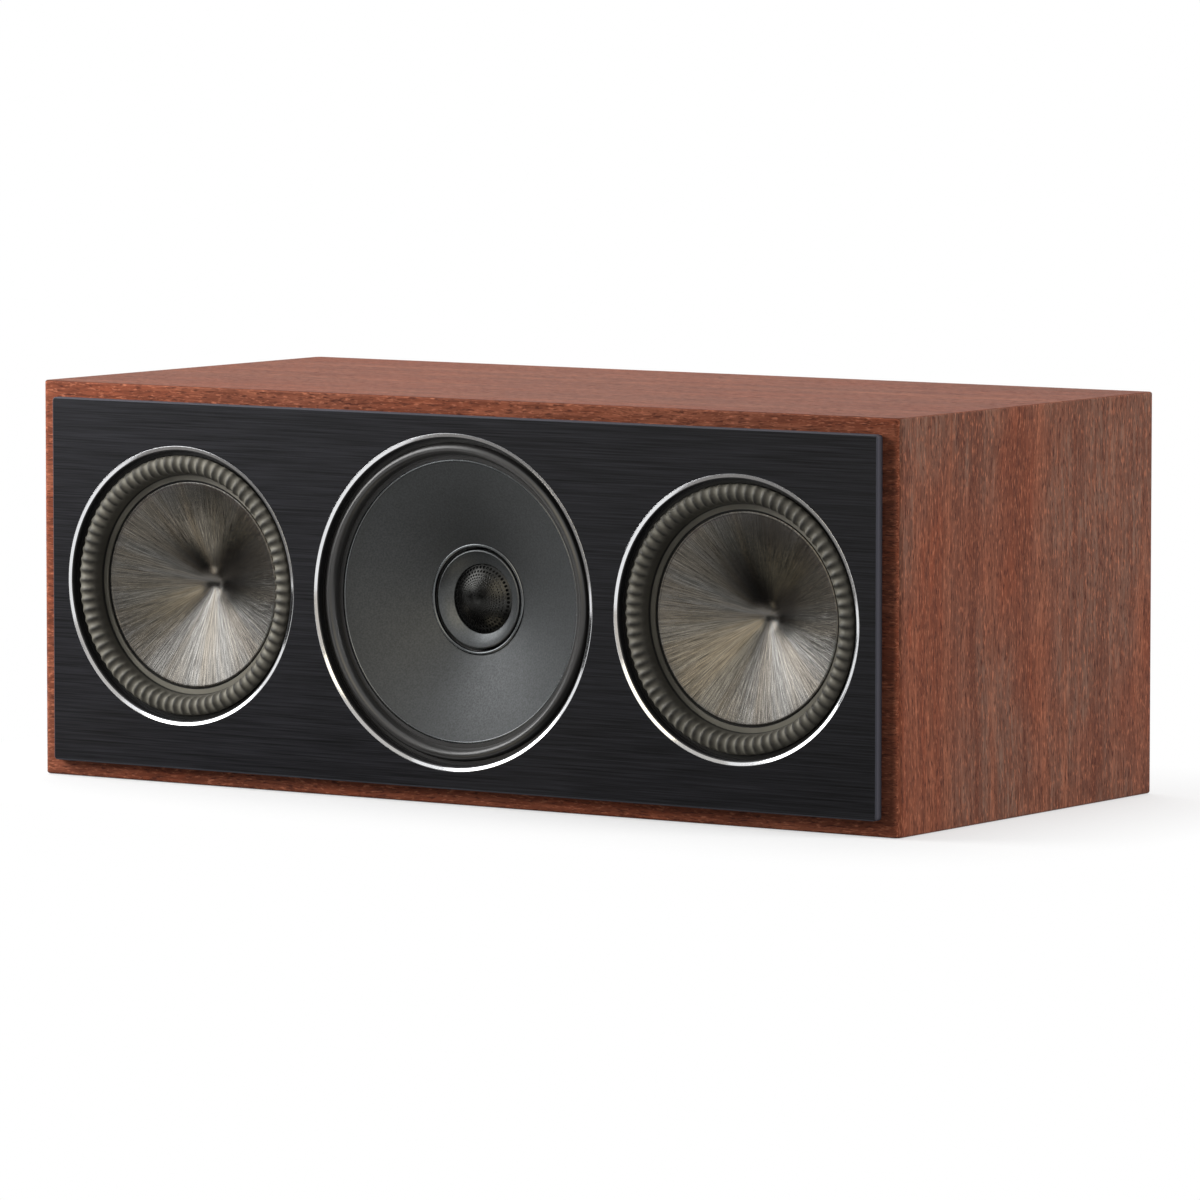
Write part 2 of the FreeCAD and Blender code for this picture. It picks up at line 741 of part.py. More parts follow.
def cap(radius, rise, wall, base):
    """Thin part-sphere that bulges forwards from its base."""
    sphere = (radius * radius + rise * rise) / (2 * rise)
    inner = radius - wall
    middle = radius / 2
    outer_depth = base - (math.sqrt(sphere * sphere - middle * middle) - sphere + rise)
    inner_middle = inner / 2
    inner_rise = rise - wall
    inner_sphere = (inner * inner + inner_rise * inner_rise) / (2 * inner_rise)
    inner_side = math.sqrt(inner_sphere * inner_sphere - inner_middle * inner_middle)
    inner_depth = base - (inner_side - inner_sphere + inner_rise)
    return turned([(radius, base), ((middle, outer_depth), (0, base - rise)), (0, base - rise + wall),
                   ((inner_middle, inner_depth), (inner, base))])


def tweeter_grille():
    """Perforated dome: staggered round holes in rows that follow the rim."""
    radius = tweeter_mouth_radius - glue_gap
    base = tweeter_mouth_depth + grille_wall
    dome = cap(radius, grille_rise, grille_wall, base)
    front = plate_front + base - grille_rise - grille_wall
    holes = []
    for row in range(grille_rows):
        count = grille_step_count * (grille_rows + 1 - row)
        row_radius = radius - grille_edge - row * grille_row_pitch
        for angle in around(count, math.pi / count * (row % 2)):
            place = (row_radius * math.cos(angle), axis_height + row_radius * math.sin(angle))
            holes.append(rod(grille_hole_radius, front, plate_front + base, *place))
    return dome.cut(holes)


def tweeter():
    """Every piece of the tweeter."""
    outside = tweeter_radius - tweeter_wall - glue_gap
    roll_outside = dome_radius + glue_gap + tweeter_lip + tweeter_roll_width
    lip_inside = dome_radius + glue_gap
    roll_inside = lip_inside + tweeter_lip
    crest_radius = (roll_outside + roll_inside) / 2
    clamp = tweeter_clamp_depth
    back = tweeter_clamp_back
    film = turned([(outside, clamp), (roll_outside, clamp),
                   ((crest_radius, clamp - tweeter_roll_rise), (roll_inside, clamp)), (lip_inside, clamp),
                   (lip_inside, back), (roll_inside + tweeter_film, back),
                   ((crest_radius, back - tweeter_roll_rise), (roll_outside - tweeter_film, back)),
                   (outside, back)])
    wound = tweeter_coil_outside
    coil_back = clamp + tweeter_coil_length
    coil = turned([(tweeter_coil_inside, clamp), (dome_radius, clamp),
                   (dome_radius, back + tweeter_film), (wound, back + tweeter_film),
                   (wound, coil_back), (tweeter_coil_inside, coil_back)])
    cap_front = back + air_gap
    cap_back = cap_front + tweeter_cap_thickness
    magnet_back = cap_back + tweeter_magnet_thickness
    gap_outside = wound + air_gap
    core = tweeter_coil_inside - air_gap
    cup = turned([(gap_outside, back), (outside, back), (outside, mid_basket_depth), (0, mid_basket_depth),
                  (0, magnet_back), (gap_outside, magnet_back)])
    return {
        "housing": tweeter_housing(),
        "grille": tweeter_grille(),
        "dome": cap(dome_radius, dome_rise, dome_wall, clamp),
        "surround": film,
        "voice_coil": coil,
        "pole_cap": turned([(0, cap_front), (core, cap_front), (core, cap_back), (0, cap_back)]),
        "magnet": turned([(0, cap_back), (core, cap_back), (core, magnet_back), (0, magnet_back)]),
        "yoke": cup,
    }


# Terminals on the back

def rounded_rectangle(width, height, radius, y):
    """Closed outline across the Y axis, centred on the drivers' height."""
    edges = []
    points = []
    for k, (sx, sz) in enumerate(((1, -1), (1, 1), (-1, 1), (-1, -1))):
        x = sx * (width / 2 - radius)
        z = axis_height + sz * (height / 2 - radius)
        turns = [math.pi / 2 * (k - 1 + share) for share in (0, 0.5, 1)]
        points.append([Vector(x + radius * math.cos(turn), y, z + radius * math.sin(turn)) for turn in turns])
    for k, corner in enumerate(points):
        edges.append(Part.LineSegment(points[k - 1][2], corner[0]).toShape())
        edges.append(Part.Arc(*corner).toShape())
    return Part.Wire(edges)


def prism(wire, length):
    """Solid drawn from a flat outline along Y."""
    return Part.Face(wire).extrude(Vector(0, length, 0))


def post_places():
    return [(-post_spacing / 2, axis_height), (post_spacing / 2, axis_height)]


def terminal_cup():
    """Moulded dish with a flange on the back panel and a boss for each binding post."""
    floor_back = cup_floor - cup_wall
    flange = prism(rounded_rectangle(cup_width, cup_height, cup_corner, cabinet_back), cup_flange)
    mouth_width = cup_mouth_width + 2 * cup_wall
    mouth_height = cup_mouth_height + 2 * cup_wall
    shell = Part.makeLoft([
        rounded_rectangle(mouth_width, mouth_height, cup_corner, cabinet_back),
        rounded_rectangle(mouth_width - 2 * cup_draft, mouth_height - 2 * cup_draft, cup_corner, floor_back),
    ], True, True)
    hollow = Part.makeLoft([
        rounded_rectangle(cup_mouth_width, cup_mouth_height, cup_corner, cup_face),
        rounded_rectangle(cup_mouth_width - 2 * cup_draft, cup_mouth_height - 2 * cup_draft, cup_corner,
                          cup_floor),
    ], True, True)
    cup = flange.fuse(shell).cut(hollow)
    cup = cup.fuse([rod(post_boss_radius, cup_floor, cup_floor + post_boss_height, *place)
                    for place in post_places()])
    holes = [rod(stud_radius + glue_gap, floor_back, cup_floor + post_boss_height, *place)
             for place in post_places()]
    holes += [screw(x, z, cup_face, -1, glue_gap) for x, z in cup_screw_places()]
    return cup.cut(holes).removeSplitter()


def collar_front():
    """Outer face of the collars that the clamp washers close on."""
    return cup_floor + post_boss_height + stud_collar_thickness


def knob_end():
    return collar_front() + washer_thickness + knob_length


def post_stud(x, z):
    """Threaded stud with a collar, a socket for a 4 mm plug and a cross hole for bare wire."""
    seat = cup_floor + post_boss_height
    inside = cup_floor - cup_wall - stud_tail
    end = knob_end() - stud_recess
    stud = rod(stud_radius, inside, end, x, z)
    stud = stud.fuse(rod(stud_collar_radius, seat, collar_front(), x, z)).removeSplitter()
    middle = collar_front() + wire_hole_radius + running_gap
    cross = Part.makeCylinder(wire_hole_radius, 2 * stud_radius, Vector(x, middle, z - stud_radius))
    return stud.cut([rod(banana_radius, end - banana_depth, end, x, z), cross])


def post_washer(x, z):
    inner = stud_radius + running_gap
    outline = [(inner, 0), (stud_collar_radius, 0), (stud_collar_radius, washer_thickness),
               (inner, washer_thickness)]
    return turned(outline, x, z, collar_front())


def post_knob(x, z):
    """Fluted nut that clamps the washer against the collar."""
    inner = stud_radius + running_gap
    start = collar_front() + washer_thickness
    outline = [(inner, 0), (knob_radius - knob_chamfer, 0), (knob_radius, knob_chamfer),
               (knob_radius, knob_length - knob_chamfer), (knob_radius - knob_chamfer, knob_length),
               (inner, knob_length)]
    circle = knob_radius + flute_radius - flute_depth
    flutes = []
    for angle in around(knob_flutes):
        place = (x + circle * math.cos(angle), z + circle * math.sin(angle))
        flutes.append(rod(flute_radius, start, start + knob_length, *place))
    return turned(outline, x, z, start).cut(flutes)


def post_nut(x, z):
    """Hexagon nut that holds a stud from inside the cabinet."""
    back = cup_floor - cup_wall
    corner = nut_across_flats / 2 / math.cos(math.pi / nut_sides)
    corners = [Vector(x + corner * math.cos(angle), back - nut_thickness, z + corner * math.sin(angle))
               for angle in around(nut_sides)]
    nut = prism(Part.makePolygon(corners + corners[:1]), nut_thickness)
    return nut.cut(rod(stud_radius + running_gap, back - nut_thickness, back, x, z))


# Crossover and leads

def board_corner(sx, sy, inset=0.0):
    return sx * (board_width / 2 - inset), board_middle + sy * (board_length / 2 - inset)


def crossover():
    """Circuit board on spacers, with its coils, capacitors and resistors."""
    low = (*board_corner(-1, -1), board_top - board_thickness)
    high = (*board_corner(1, 1), board_top)
    feet = [board_corner(sx, sy, spacer_inset) for sx in (-1, 1) for sy in (-1, 1)]
    spacers = [Part.makeCylinder(spacer_radius, spacer_height, Vector(x, y, panel_thickness))
               for x, y in feet]
    coils = []
    for side in (-1, 1):
        seat = Vector(side * inductor_offset, board_middle, board_top)
        coil = Part.makeCylinder(inductor_radius, inductor_height, seat)
        coils.append(coil.cut(Part.makeCylinder(inductor_bore, inductor_height, seat)))
    first = -capacitor_pitch * (capacitor_count - 1) / 2
    cans = [rod(capacitor_radius, board_middle - capacitor_length / 2, board_middle + capacitor_length / 2,
                first + k * capacitor_pitch, board_top + capacitor_radius) for k in range(capacitor_count)]
    resistors = []
    for k in range(resistor_count):
        x = (k - (resistor_count - 1) / 2) * resistor_pitch
        y = board_middle + board_length / 2 - resistor_inset - resistor_width
        low_corner = (x - resistor_length / 2, y, board_top)
        high_corner = (x + resistor_length / 2, y + resistor_width, board_top + resistor_width)
        resistors.append(block(low_corner, high_corner))
    return {
        "crossover_board": block(low, high),
        "board_spacers": Part.Compound(spacers),
        "crossover_inductors": Part.Compound(coils),
        "crossover_capacitors": Part.Compound(cans),
        "crossover_resistors": Part.Compound(resistors),
    }


def terminal(x, shoulder, depth, turn):
    """Tag block on a basket, cut to the basket's round wall and turned about the driver's axis."""
    y = plate_front + depth
    body = block((x + shoulder - basket_wall, y - terminal_height / 2, axis_height - terminal_width / 2),
                 (x + shoulder + terminal_depth, y + terminal_height / 2, axis_height + terminal_width / 2))
    wall = rod(shoulder + glue_gap, y - terminal_height, y + terminal_height, x)
    tag = body.cut(wall)
    tag.rotate(Vector(x, 0, axis_height), Vector(0, 1, 0), turn)
    return tag


def driver_terminals():
    """Tags that face the partitions on the woofers and the floor on the midrange."""
    woofer_shoulder = woofer_spider_radius + basket_wall
    mid_shoulder = mid_spider_radius + basket_wall
    return Part.Compound([
        terminal(-woofer_offset, woofer_shoulder, woofer_lead_depth, 0),
        terminal(woofer_offset, woofer_shoulder, woofer_lead_depth, 180),
        terminal(0.0, mid_shoulder, mid_lead_depth, 90),
    ])


def lead(points):
    """Round cable along straight runs joined by tangent arcs."""
    corners = [Vector(*point) for point in points]
    edges = []
    here = corners[0]
    for before, corner, after in zip(corners, corners[1:], corners[2:]):
        into = (corner - before).normalize()
        out = (after - corner).normalize()
        reach = lead_bend_share * min(corner.distanceToPoint(before), corner.distanceToPoint(after))
        start = corner - into * reach
        end = corner + out * reach
        turn = into.getAngle(out)
        radius = reach / math.tan(turn / 2)
        inward = (out - into).normalize()
        middle = corner + inward * (radius / math.cos(turn / 2) - radius)
        edges.append(Part.LineSegment(here, start).toShape())
        edges.append(Part.Arc(start, middle, end).toShape())
        here = end
    edges.append(Part.LineSegment(here, corners[-1]).toShape())
    direction = corners[1] - corners[0]
    section = Part.Wire(Part.makeCircle(lead_radius, corners[0], direction))
    return Part.Wire(edges).makePipeShell([section], True, True)


def internal_leads():
    """Cables from the binding posts to the board and from the board to each driver."""
    board_front = board_middle - board_length / 2
    landing = board_front + lead_landing
    above_board = board_top + inductor_height + lead_drop
    lane = partition_inside - lead_lane
    woofer_y = plate_front + woofer_lead_depth
    woofer_tag = woofer_offset - woofer_spider_radius - basket_wall - terminal_depth
    routes = []
    for side in (-1, 1):
        routes.append([
            (side * woofer_tag, woofer_y, axis_height),
            (side * lane, woofer_y, axis_height),
            (side * lane, board_front - lead_run, axis_height),
            (side * inductor_offset, landing, above_board),
            (side * inductor_offset, landing, board_top)])
    mid_tag_z = axis_height - mid_spider_radius - basket_wall - terminal_depth / 2
    mid_tag_y = plate_front + mid_lead_depth + terminal_height / 2
    routes.append([
        (0.0, mid_tag_y, mid_tag_z),
        (0.0, board_front - lead_run, mid_tag_z),
        (capacitor_pitch, landing, mid_tag_z),
        (capacitor_pitch, landing, board_top)])
    routes.append([
        (0.0, plate_front + mid_basket_depth, axis_height),
        (0.0, plate_front + mid_motor_back + lead_run, axis_height),
        (-capacitor_pitch, landing, above_board),
        (-capacitor_pitch, landing, board_top)])
    post_landing = board_middle + capacitor_length / 2 + lead_landing
    post_end = cup_floor - cup_wall - stud_tail
    for x, z in post_places():
        routes.append([
            (x, post_end, z),
            (x, post_end - lead_run, z),
            (x, post_landing, above_board),
            (x, post_landing, board_top)])
    return Part.Compound([lead(route) for route in routes])


def build():
    outside = cabinet_block()
    pieces = {
        "top_panel": panel(outside, 2, 1),
        "bottom_panel": panel(outside, 2, -1),
        "left_side_panel": panel(outside, 0, -1),
        "right_side_panel": panel(outside, 0, 1),
        "front_baffle": front_baffle(panel(outside, 1, -1)),
        "back_panel": back_panel(panel(outside, 1, 1)),
        "left_partition": partition(-1),
        "right_partition": partition(1),
        "damping_wadding": wadding(),
        "front_plate": front_plate(),
        "left_trim_ring": trim_ring(-woofer_offset, woofer_trim_radius),
        "centre_trim_ring": trim_ring(0.0, mid_trim_radius),
        "right_trim_ring": trim_ring(woofer_offset, woofer_trim_radius),
        "wood_screws": wood_screws(),
        "driver_terminals": driver_terminals(),
        "terminal_cup": terminal_cup(),
        "post_studs": Part.Compound([post_stud(*place) for place in post_places()]),
        "post_nuts": Part.Compound([post_nut(*place) for place in post_places()]),
        "internal_leads": internal_leads(),
    }
    for name, side in (("left_woofer", -1), ("right_woofer", 1)):
        pieces.update({name + "_" + part: solid for part, solid in woofer(side).items()})
    pieces.update({"midrange_" + part: solid for part, solid in midrange().items()})
    pieces.update({"tweeter_" + part: solid for part, solid in tweeter().items()})
    pieces.update(crossover())
    for name, place in zip(("black", "red"), post_places()):
        pieces[name + "_post_washer"] = post_washer(*place)
        pieces[name + "_post_knob"] = post_knob(*place)
    return pieces


os.makedirs("parts", exist_ok=True)
for node, solid in build().items():
    solid.exportStep("parts/" + node + ".step")
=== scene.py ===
import math

import bmesh
import bpy
import numpy as np
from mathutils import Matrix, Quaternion, Vector


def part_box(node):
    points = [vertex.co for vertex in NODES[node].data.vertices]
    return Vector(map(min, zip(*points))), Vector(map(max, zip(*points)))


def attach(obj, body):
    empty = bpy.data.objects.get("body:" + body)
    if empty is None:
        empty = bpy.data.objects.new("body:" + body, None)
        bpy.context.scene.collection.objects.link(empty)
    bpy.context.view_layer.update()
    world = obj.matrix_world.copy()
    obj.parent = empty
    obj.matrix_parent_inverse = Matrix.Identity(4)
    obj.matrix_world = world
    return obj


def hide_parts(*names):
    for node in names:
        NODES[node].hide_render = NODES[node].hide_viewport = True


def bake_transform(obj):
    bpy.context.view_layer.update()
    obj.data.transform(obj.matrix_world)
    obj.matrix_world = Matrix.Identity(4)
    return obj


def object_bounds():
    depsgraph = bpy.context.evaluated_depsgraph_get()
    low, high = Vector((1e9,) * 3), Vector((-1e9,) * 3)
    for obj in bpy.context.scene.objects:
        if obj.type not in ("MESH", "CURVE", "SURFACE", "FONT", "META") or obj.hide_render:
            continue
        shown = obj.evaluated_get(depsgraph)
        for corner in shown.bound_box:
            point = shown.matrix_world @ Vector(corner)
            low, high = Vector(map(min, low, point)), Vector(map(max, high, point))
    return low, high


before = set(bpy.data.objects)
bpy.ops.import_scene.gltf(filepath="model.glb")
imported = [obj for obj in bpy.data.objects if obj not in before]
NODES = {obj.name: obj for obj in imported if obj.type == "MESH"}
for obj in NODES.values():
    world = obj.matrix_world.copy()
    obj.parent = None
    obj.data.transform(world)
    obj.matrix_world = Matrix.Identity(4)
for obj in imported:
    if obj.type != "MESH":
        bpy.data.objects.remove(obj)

bl_info = {
    "name": "Three-way speaker dresser",
    "version": (1, 0, 0),
    "blender": (4, 5, 0),
    "location": "3D View > Sidebar > Speaker",
    "description": "Dresses a horizontal loudspeaker: veneer, front plate, drivers, terminals and studio",
    "category": "Add Mesh",
}

# The frame: metres, X to the right, Y from front to back, Z up
CAD_BOX = [list(corner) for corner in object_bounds()]
CABINET = "cabinet"
DRIVERS = ("left_woofer", "right_woofer", "midrange")
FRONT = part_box("front_plate")[0].y
# Gap between pieces that lie side by side
FIT = 0.0001
MERGE_DISTANCE = 2e-6
TAU = 2 * math.pi


def middle(node):
    """Middle of a node's box."""
    low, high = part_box(node)
    return (low + high) / 2


def half_width(node):
    """Half of a node's width: the radius of a round piece."""
    low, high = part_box(node)
    return (high.x - low.x) / 2


def depths(node):
    """Depths of a node's front and back behind the face of the front plate."""
    low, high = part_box(node)
    return low.y - FRONT, high.y - FRONT


# Settings that a user would change


def length(label, text, default):
    return bpy.props.FloatProperty(name=label, description=text, default=default, unit="LENGTH", precision=5)


def turn(label, text, degrees):
    return bpy.props.FloatProperty(name=label, description=text, subtype="ANGLE",
                                   default=math.radians(degrees))


def colour(label, text, *display):
    return bpy.props.FloatVectorProperty(name=label, description=text, size=3, subtype="COLOR_GAMMA", min=0.0,
                                         max=1.0, default=[channel / 255 for channel in display])


def count(label, text, default):
    return bpy.props.IntProperty(name=label, description=text, default=default, min=3)


def share(label, text, default):
    return bpy.props.FloatProperty(name=label, description=text, default=default, subtype="FACTOR", min=0.0,
                                   max=1.0)


class SPEAKER_PG_view(bpy.types.PropertyGroup):
    """Camera of the product picture."""

    azimuth: turn("Azimuth", "Turn of the camera round the speaker, from straight in front", 33.98)
    elevation: turn("Elevation", "Height of the camera above the horizon", 5.10)
    roll: turn("Roll", "Turn of the camera about its own axis", 0.02)
    distance: length("Distance", "From the camera to the point it aims at", 4.4937)
    lens: bpy.props.FloatProperty(name="Lens", description="Focal length", default=255.9,
                                  subtype="DISTANCE_CAMERA")
    aim: bpy.props.FloatVectorProperty(name="Aim", description="Point in the middle of the picture", size=3,
                                       subtype="TRANSLATION", default=(0.00389, 0.00225, 0.09699))


class SPEAKER_PG_drivers(bpy.types.PropertyGroup):
    """Sizes of the drivers and terminals that their boxes don't give."""

    columns: count("Columns", "Points round a turned piece", 288)
    trim_width: length("Trim width", "Width of a polished ring", 0.0024)
    trim_cut: length("Trim cut", "Width of the polished part of a ring", 0.0018)
    trim_bevel: length("Trim bevel", "Depth of a ring's bevel", 0.0008)
    trim_edge: length("Trim edge", "Flat land outside a ring's bevel", 0.0003)
    trim_round: length("Trim round", "Rounding of a ring's corners", 0.00012)
    rubber: length("Rubber", "Thickness of a surround", 0.0008)
    land: length("Land", "Flat of a surround on its basket", 0.002)
    land_step: length("Land step", "From a basket's front to the back of that flat", 0.0015)
    rib_count: count("Ribs", "Ribs round a woofer surround", 76)
    rib_depth: length("Rib depth", "Depth of the grooves between ribs", 0.0011)
    woofer_crest: length("Woofer crest", "From a woofer roll's outer foot in to its crest", 0.0047)
    woofer_lip: length("Woofer lip", "Width of a woofer surround's lip on the cone", 0.0029)
    seam_width: length("Seam width", "Width of the dark seam between a woofer's lip and its cone", 0.0008)
    seam_depth: length("Seam depth", "Depth of that seam", 0.00055)
    bead_width: length("Bead width", "Width of the rounded rim of a woofer cone", 0.0015)
    bead_rise: length("Bead rise", "Height of that rim", 0.00035)
    woofer_apex: length("Woofer apex", "Depth of the middle of a woofer cone", 0.0335)
    woofer_bow: share("Woofer bow", "How much a woofer cone steepens towards its middle", 0.25)
    woofer_round: share("Woofer round", "How much the middle of a woofer cone is rounded", 0.18)
    mid_crest: length("Midrange crest", "From the midrange roll's outer foot in to its crest", 0.0034)
    mid_lip: length("Midrange lip", "Width of the midrange surround's lip on the cone", 0.0022)
    mid_bead_width: length("Midrange bead width", "Width of the thin bead round the midrange cone", 0.0012)
    mid_bead_rise: length("Midrange bead rise", "Height of that bead", 0.0004)
    mid_bow: share("Midrange bow", "How much the midrange cone steepens towards its middle", 0.15)
    collar_radius: length("Collar radius", "Inside of the midrange cone", 0.0271)
    collar_width: length("Collar width", "Width of the rounded collar inside the midrange cone", 0.0019)
    collar_depth: length("Collar depth", "Depth of the midrange cone's collar", 0.024)
    collar_step: length("Collar step", "From the collar's inside out to the neck behind it", 0.0005)
    cone_wall: length("Cone wall", "Thickness of the cones", 0.0008)
    flare_edge: length("Flare edge", "Rounding of the outer edge of the tweeter's flare", 0.0008)
    flare_drop: length("Flare drop", "From the flare's inner edge back to the grille's rim", 0.0006)
    flare_bow: share("Flare bow", "How much the flare is hollowed between its edges", 0.25)
    ledge: length("Ledge", "Width of the ledge under the grille's rim", 0.0013)
    clamp: length("Clamp", "From the ledge's back to the back of the tweeter's surround", 0.0004)
    grille_holes: count("Grille holes", "Holes in each row of the tweeter grille", 48)
    grille_rows: count("Grille rows", "Rows of holes in the tweeter grille", 15)
    grille_rim: length("Grille rim", "Plain rim round the tweeter grille", 0.0007)
    grille_wall: length("Grille wall", "Thickness of the tweeter grille", 0.0006)
    hole_share: share("Hole share", "Radius of a hole as a share of its cell", 0.34)
    knob_bore: length("Knob bore", "Radius of the hole through a terminal knob", 0.0032)
    knob_round: length("Knob round", "Rounding of a knob's ends", 0.0014)
    knob_flutes: count("Knob flutes", "Flutes round a knob", 8)
    flute_depth: length("Flute depth", "Depth of a knob's flutes", 0.0008)
    screw_count: count("Screws", "Screws round a driver", 6)
    screw_head: length("Screw head", "Radius of a screw's head", 0.0031)
    screw_shank: length("Screw shank", "Radius of a screw's shank", 0.00175)
    screw_taper: length("Screw taper", "Depth of a screw's countersunk head", 0.0018)
    screw_length: length("Screw length", "Whole length of a screw", 0.014)
    screw_point: length("Screw point", "Length of a screw's point", 0.002)
    cup_inset: length("Cup inset", "From the terminal cup's edges in to its screws", 0.007)
    cross_width: length("Cross width", "Width of the cross in a screw's head", 0.001)
    cross_reach: length("Cross reach", "From the middle to the end of that cross", 0.0019)
    cross_depth: length("Cross depth", "Depth of that cross", 0.0011)


class SPEAKER_PG_finish(bpy.types.PropertyGroup):
    """Colours as they show in plain light."""

    veneer: colour("Veneer", "Main colour of the wood", 122, 66, 46)
    veneer_dark: colour("Dark veneer", "Dark bands of the wood", 86, 47, 34)
    veneer_light: colour("Light veneer", "Light bands of the wood", 146, 91, 68)
    veneer_grey: colour("Grey veneer", "Dull patches of the wood", 112, 85, 72)
    pore: colour("Pores", "Pores in the wood", 58, 32, 27)
    plate: colour("Plate", "Black brushed front plate", 30, 30, 33)
    woofer_metal: colour("Woofer cone", "Streaked metal of the woofer cones", 114, 112.5, 109.5)
    mid_metal: colour("Midrange cone", "Satin coat of the midrange cone", 81, 83, 84)
    rubber: colour("Rubber", "Woofer surrounds", 136, 132, 120)
    mid_rubber: colour("Midrange rubber", "Midrange surround", 58, 57, 56)
    polish: colour("Polish", "Polished trim", 235, 236, 238)
    moulding: colour("Moulding", "Black moulded plastic", 26, 26, 28)
    gold: colour("Gold", "Plated terminals", 232, 190, 108)
    red: colour("Red knob", "Positive terminal", 150, 14, 18)
    black: colour("Black knob", "Negative terminal", 22, 22, 24)
    paper: colour("Backdrop", "Floor and background", 255, 255, 255)


# Surfaces: whole arrays of points on a grid


def round_angles(columns):
    """Angles of points that are spread evenly round a full turn."""
    return np.arange(columns) * TAU / columns


def ramp(value, start, end):
    """0 up to the start, 1 from the end on, and straight between them."""
    return np.clip((value - start) / (end - start), 0, 1)


def eased(points, radius, steps):
    """Closed outline whose corners are arcs: each arc blends its two end points by sines of the turn."""
    most_of_side = 0.45
    corner = np.array(points, float)
    before = np.roll(corner, 1, axis=0) - corner
    after = np.roll(corner, -1, axis=0) - corner
    before_length = np.linalg.norm(before, axis=1, keepdims=True)
    after_length = np.linalg.norm(after, axis=1, keepdims=True)
    u = before / before_length
    v = after / after_length
    half = np.arccos(np.clip((u * v).sum(axis=1, keepdims=True), -1, 1)) / 2
    reach = np.minimum(radius / np.tan(half), most_of_side * np.minimum(before_length, after_length))
    bisector = (u + v) / np.linalg.norm(u + v, axis=1, keepdims=True)
    centre = corner + bisector * reach / np.cos(half)
    sweep = (math.pi - 2 * half)[:, :, None]
    along = np.linspace(0, 1, steps)[None, :, None]
    start = (corner + u * reach - centre)[:, None]
    end = (corner + v * reach - centre)[:, None]
    arc = (np.sin((1 - along) * sweep) * start + np.sin(along * sweep) * end) / np.sin(sweep)
    return (centre[:, None] + arc).reshape(-1, 2)


def quarter(foot, crest, steps):
    """Quarter of an ellipse: upright at the foot, level at the crest."""
    angle = np.linspace(0, math.pi / 2, steps)
    radius = crest[0] + (foot[0] - crest[0]) * np.cos(angle)
    depth = foot[1] + (crest[1] - foot[1]) * np.sin(angle)
    return np.stack([radius, depth], axis=1)


def arch(land, crest, foot, steps):
    """Front of a roll: outer quarter, then inner quarter."""
    return np.concatenate([quarter(land, crest, steps), quarter(foot, crest, steps)[-2::-1]])


def rounded_bead(outer, inner, depth, rise, steps=13):
    """Half of an ellipse from an outer to an inner radius, standing proud by its rise, without its ends."""
    angle = np.linspace(0, math.pi, steps)[1:-1]
    half = (outer - inner) / 2
    return np.stack([inner + half + half * np.cos(angle), depth - rise * np.sin(angle)], axis=1)


def dish_front(inner, outer, bow, rounding, steps):
    """From edge to middle: depth is a parabola of the radius; inside the rounding, a bowl that meets it."""
    radius_share = np.linspace(1, 0, steps)
    rise = (1 + bow) * radius_share - bow * radius_share**2
    if rounding:
        edge_rise = (1 + bow) * rounding - bow * rounding**2
        edge_slope = 1 + bow - 2 * bow * rounding
        bowl = edge_rise + edge_slope * (radius_share**2 - rounding**2) / (2 * rounding)
        rise = np.where(radius_share < rounding, bowl, rise)
    radius = inner[0] + (outer[0] - inner[0]) * radius_share
    depth = inner[1] + (outer[1] - inner[1]) * rise
    return np.stack([radius, depth], axis=1)


def turned(radius, depth, centre, columns):
    """Surface of revolution about an axis along Y; radius and depth may change along it and round it."""
    angle = round_angles(columns)
    radius = np.broadcast_to(radius, (len(radius), columns))
    depth = np.broadcast_to(depth, (len(depth), columns))
    x = centre[0] + radius * np.cos(angle)
    z = centre[2] + radius * np.sin(angle)
    return np.stack([x, FRONT + depth, z], axis=2)


def outline_turned(outline, centre, columns):
    """Surface of revolution of a plain outline of radius and depth."""
    return turned(outline[:, :1], outline[:, 1:], centre, columns)


def quads(rows, columns, wrap_rows, wrap_columns):
    """Corners of the faces that join each grid point to its neighbours."""
    row = np.arange(rows if wrap_rows else rows - 1)[:, None]
    column = np.arange(columns if wrap_columns else columns - 1)[None, :]
    next_row = (row + 1) % rows
    next_column = (column + 1) % columns
    corners = np.broadcast_arrays(row * columns + column, row * columns + next_column,
                                  next_row * columns + next_column, next_row * columns + column)
    return np.stack(corners, axis=2).reshape(-1, 4)


def joined(*shells):
    """Several (points, faces) shells as one."""
    offsets = np.cumsum([0] + [len(points) for points, _ in shells[:-1]])
    return (np.concatenate([points for points, _ in shells]),
            np.concatenate([faces + offset for offset, (_, faces) in zip(offsets, shells)]))


def shell(grid, wrap_rows=True):
    """A grid that closes round its columns, and along its rows where the outline is closed."""
    rows, columns, _ = grid.shape
    return grid.reshape(-1, 3), quads(rows, columns, wrap_rows, True)


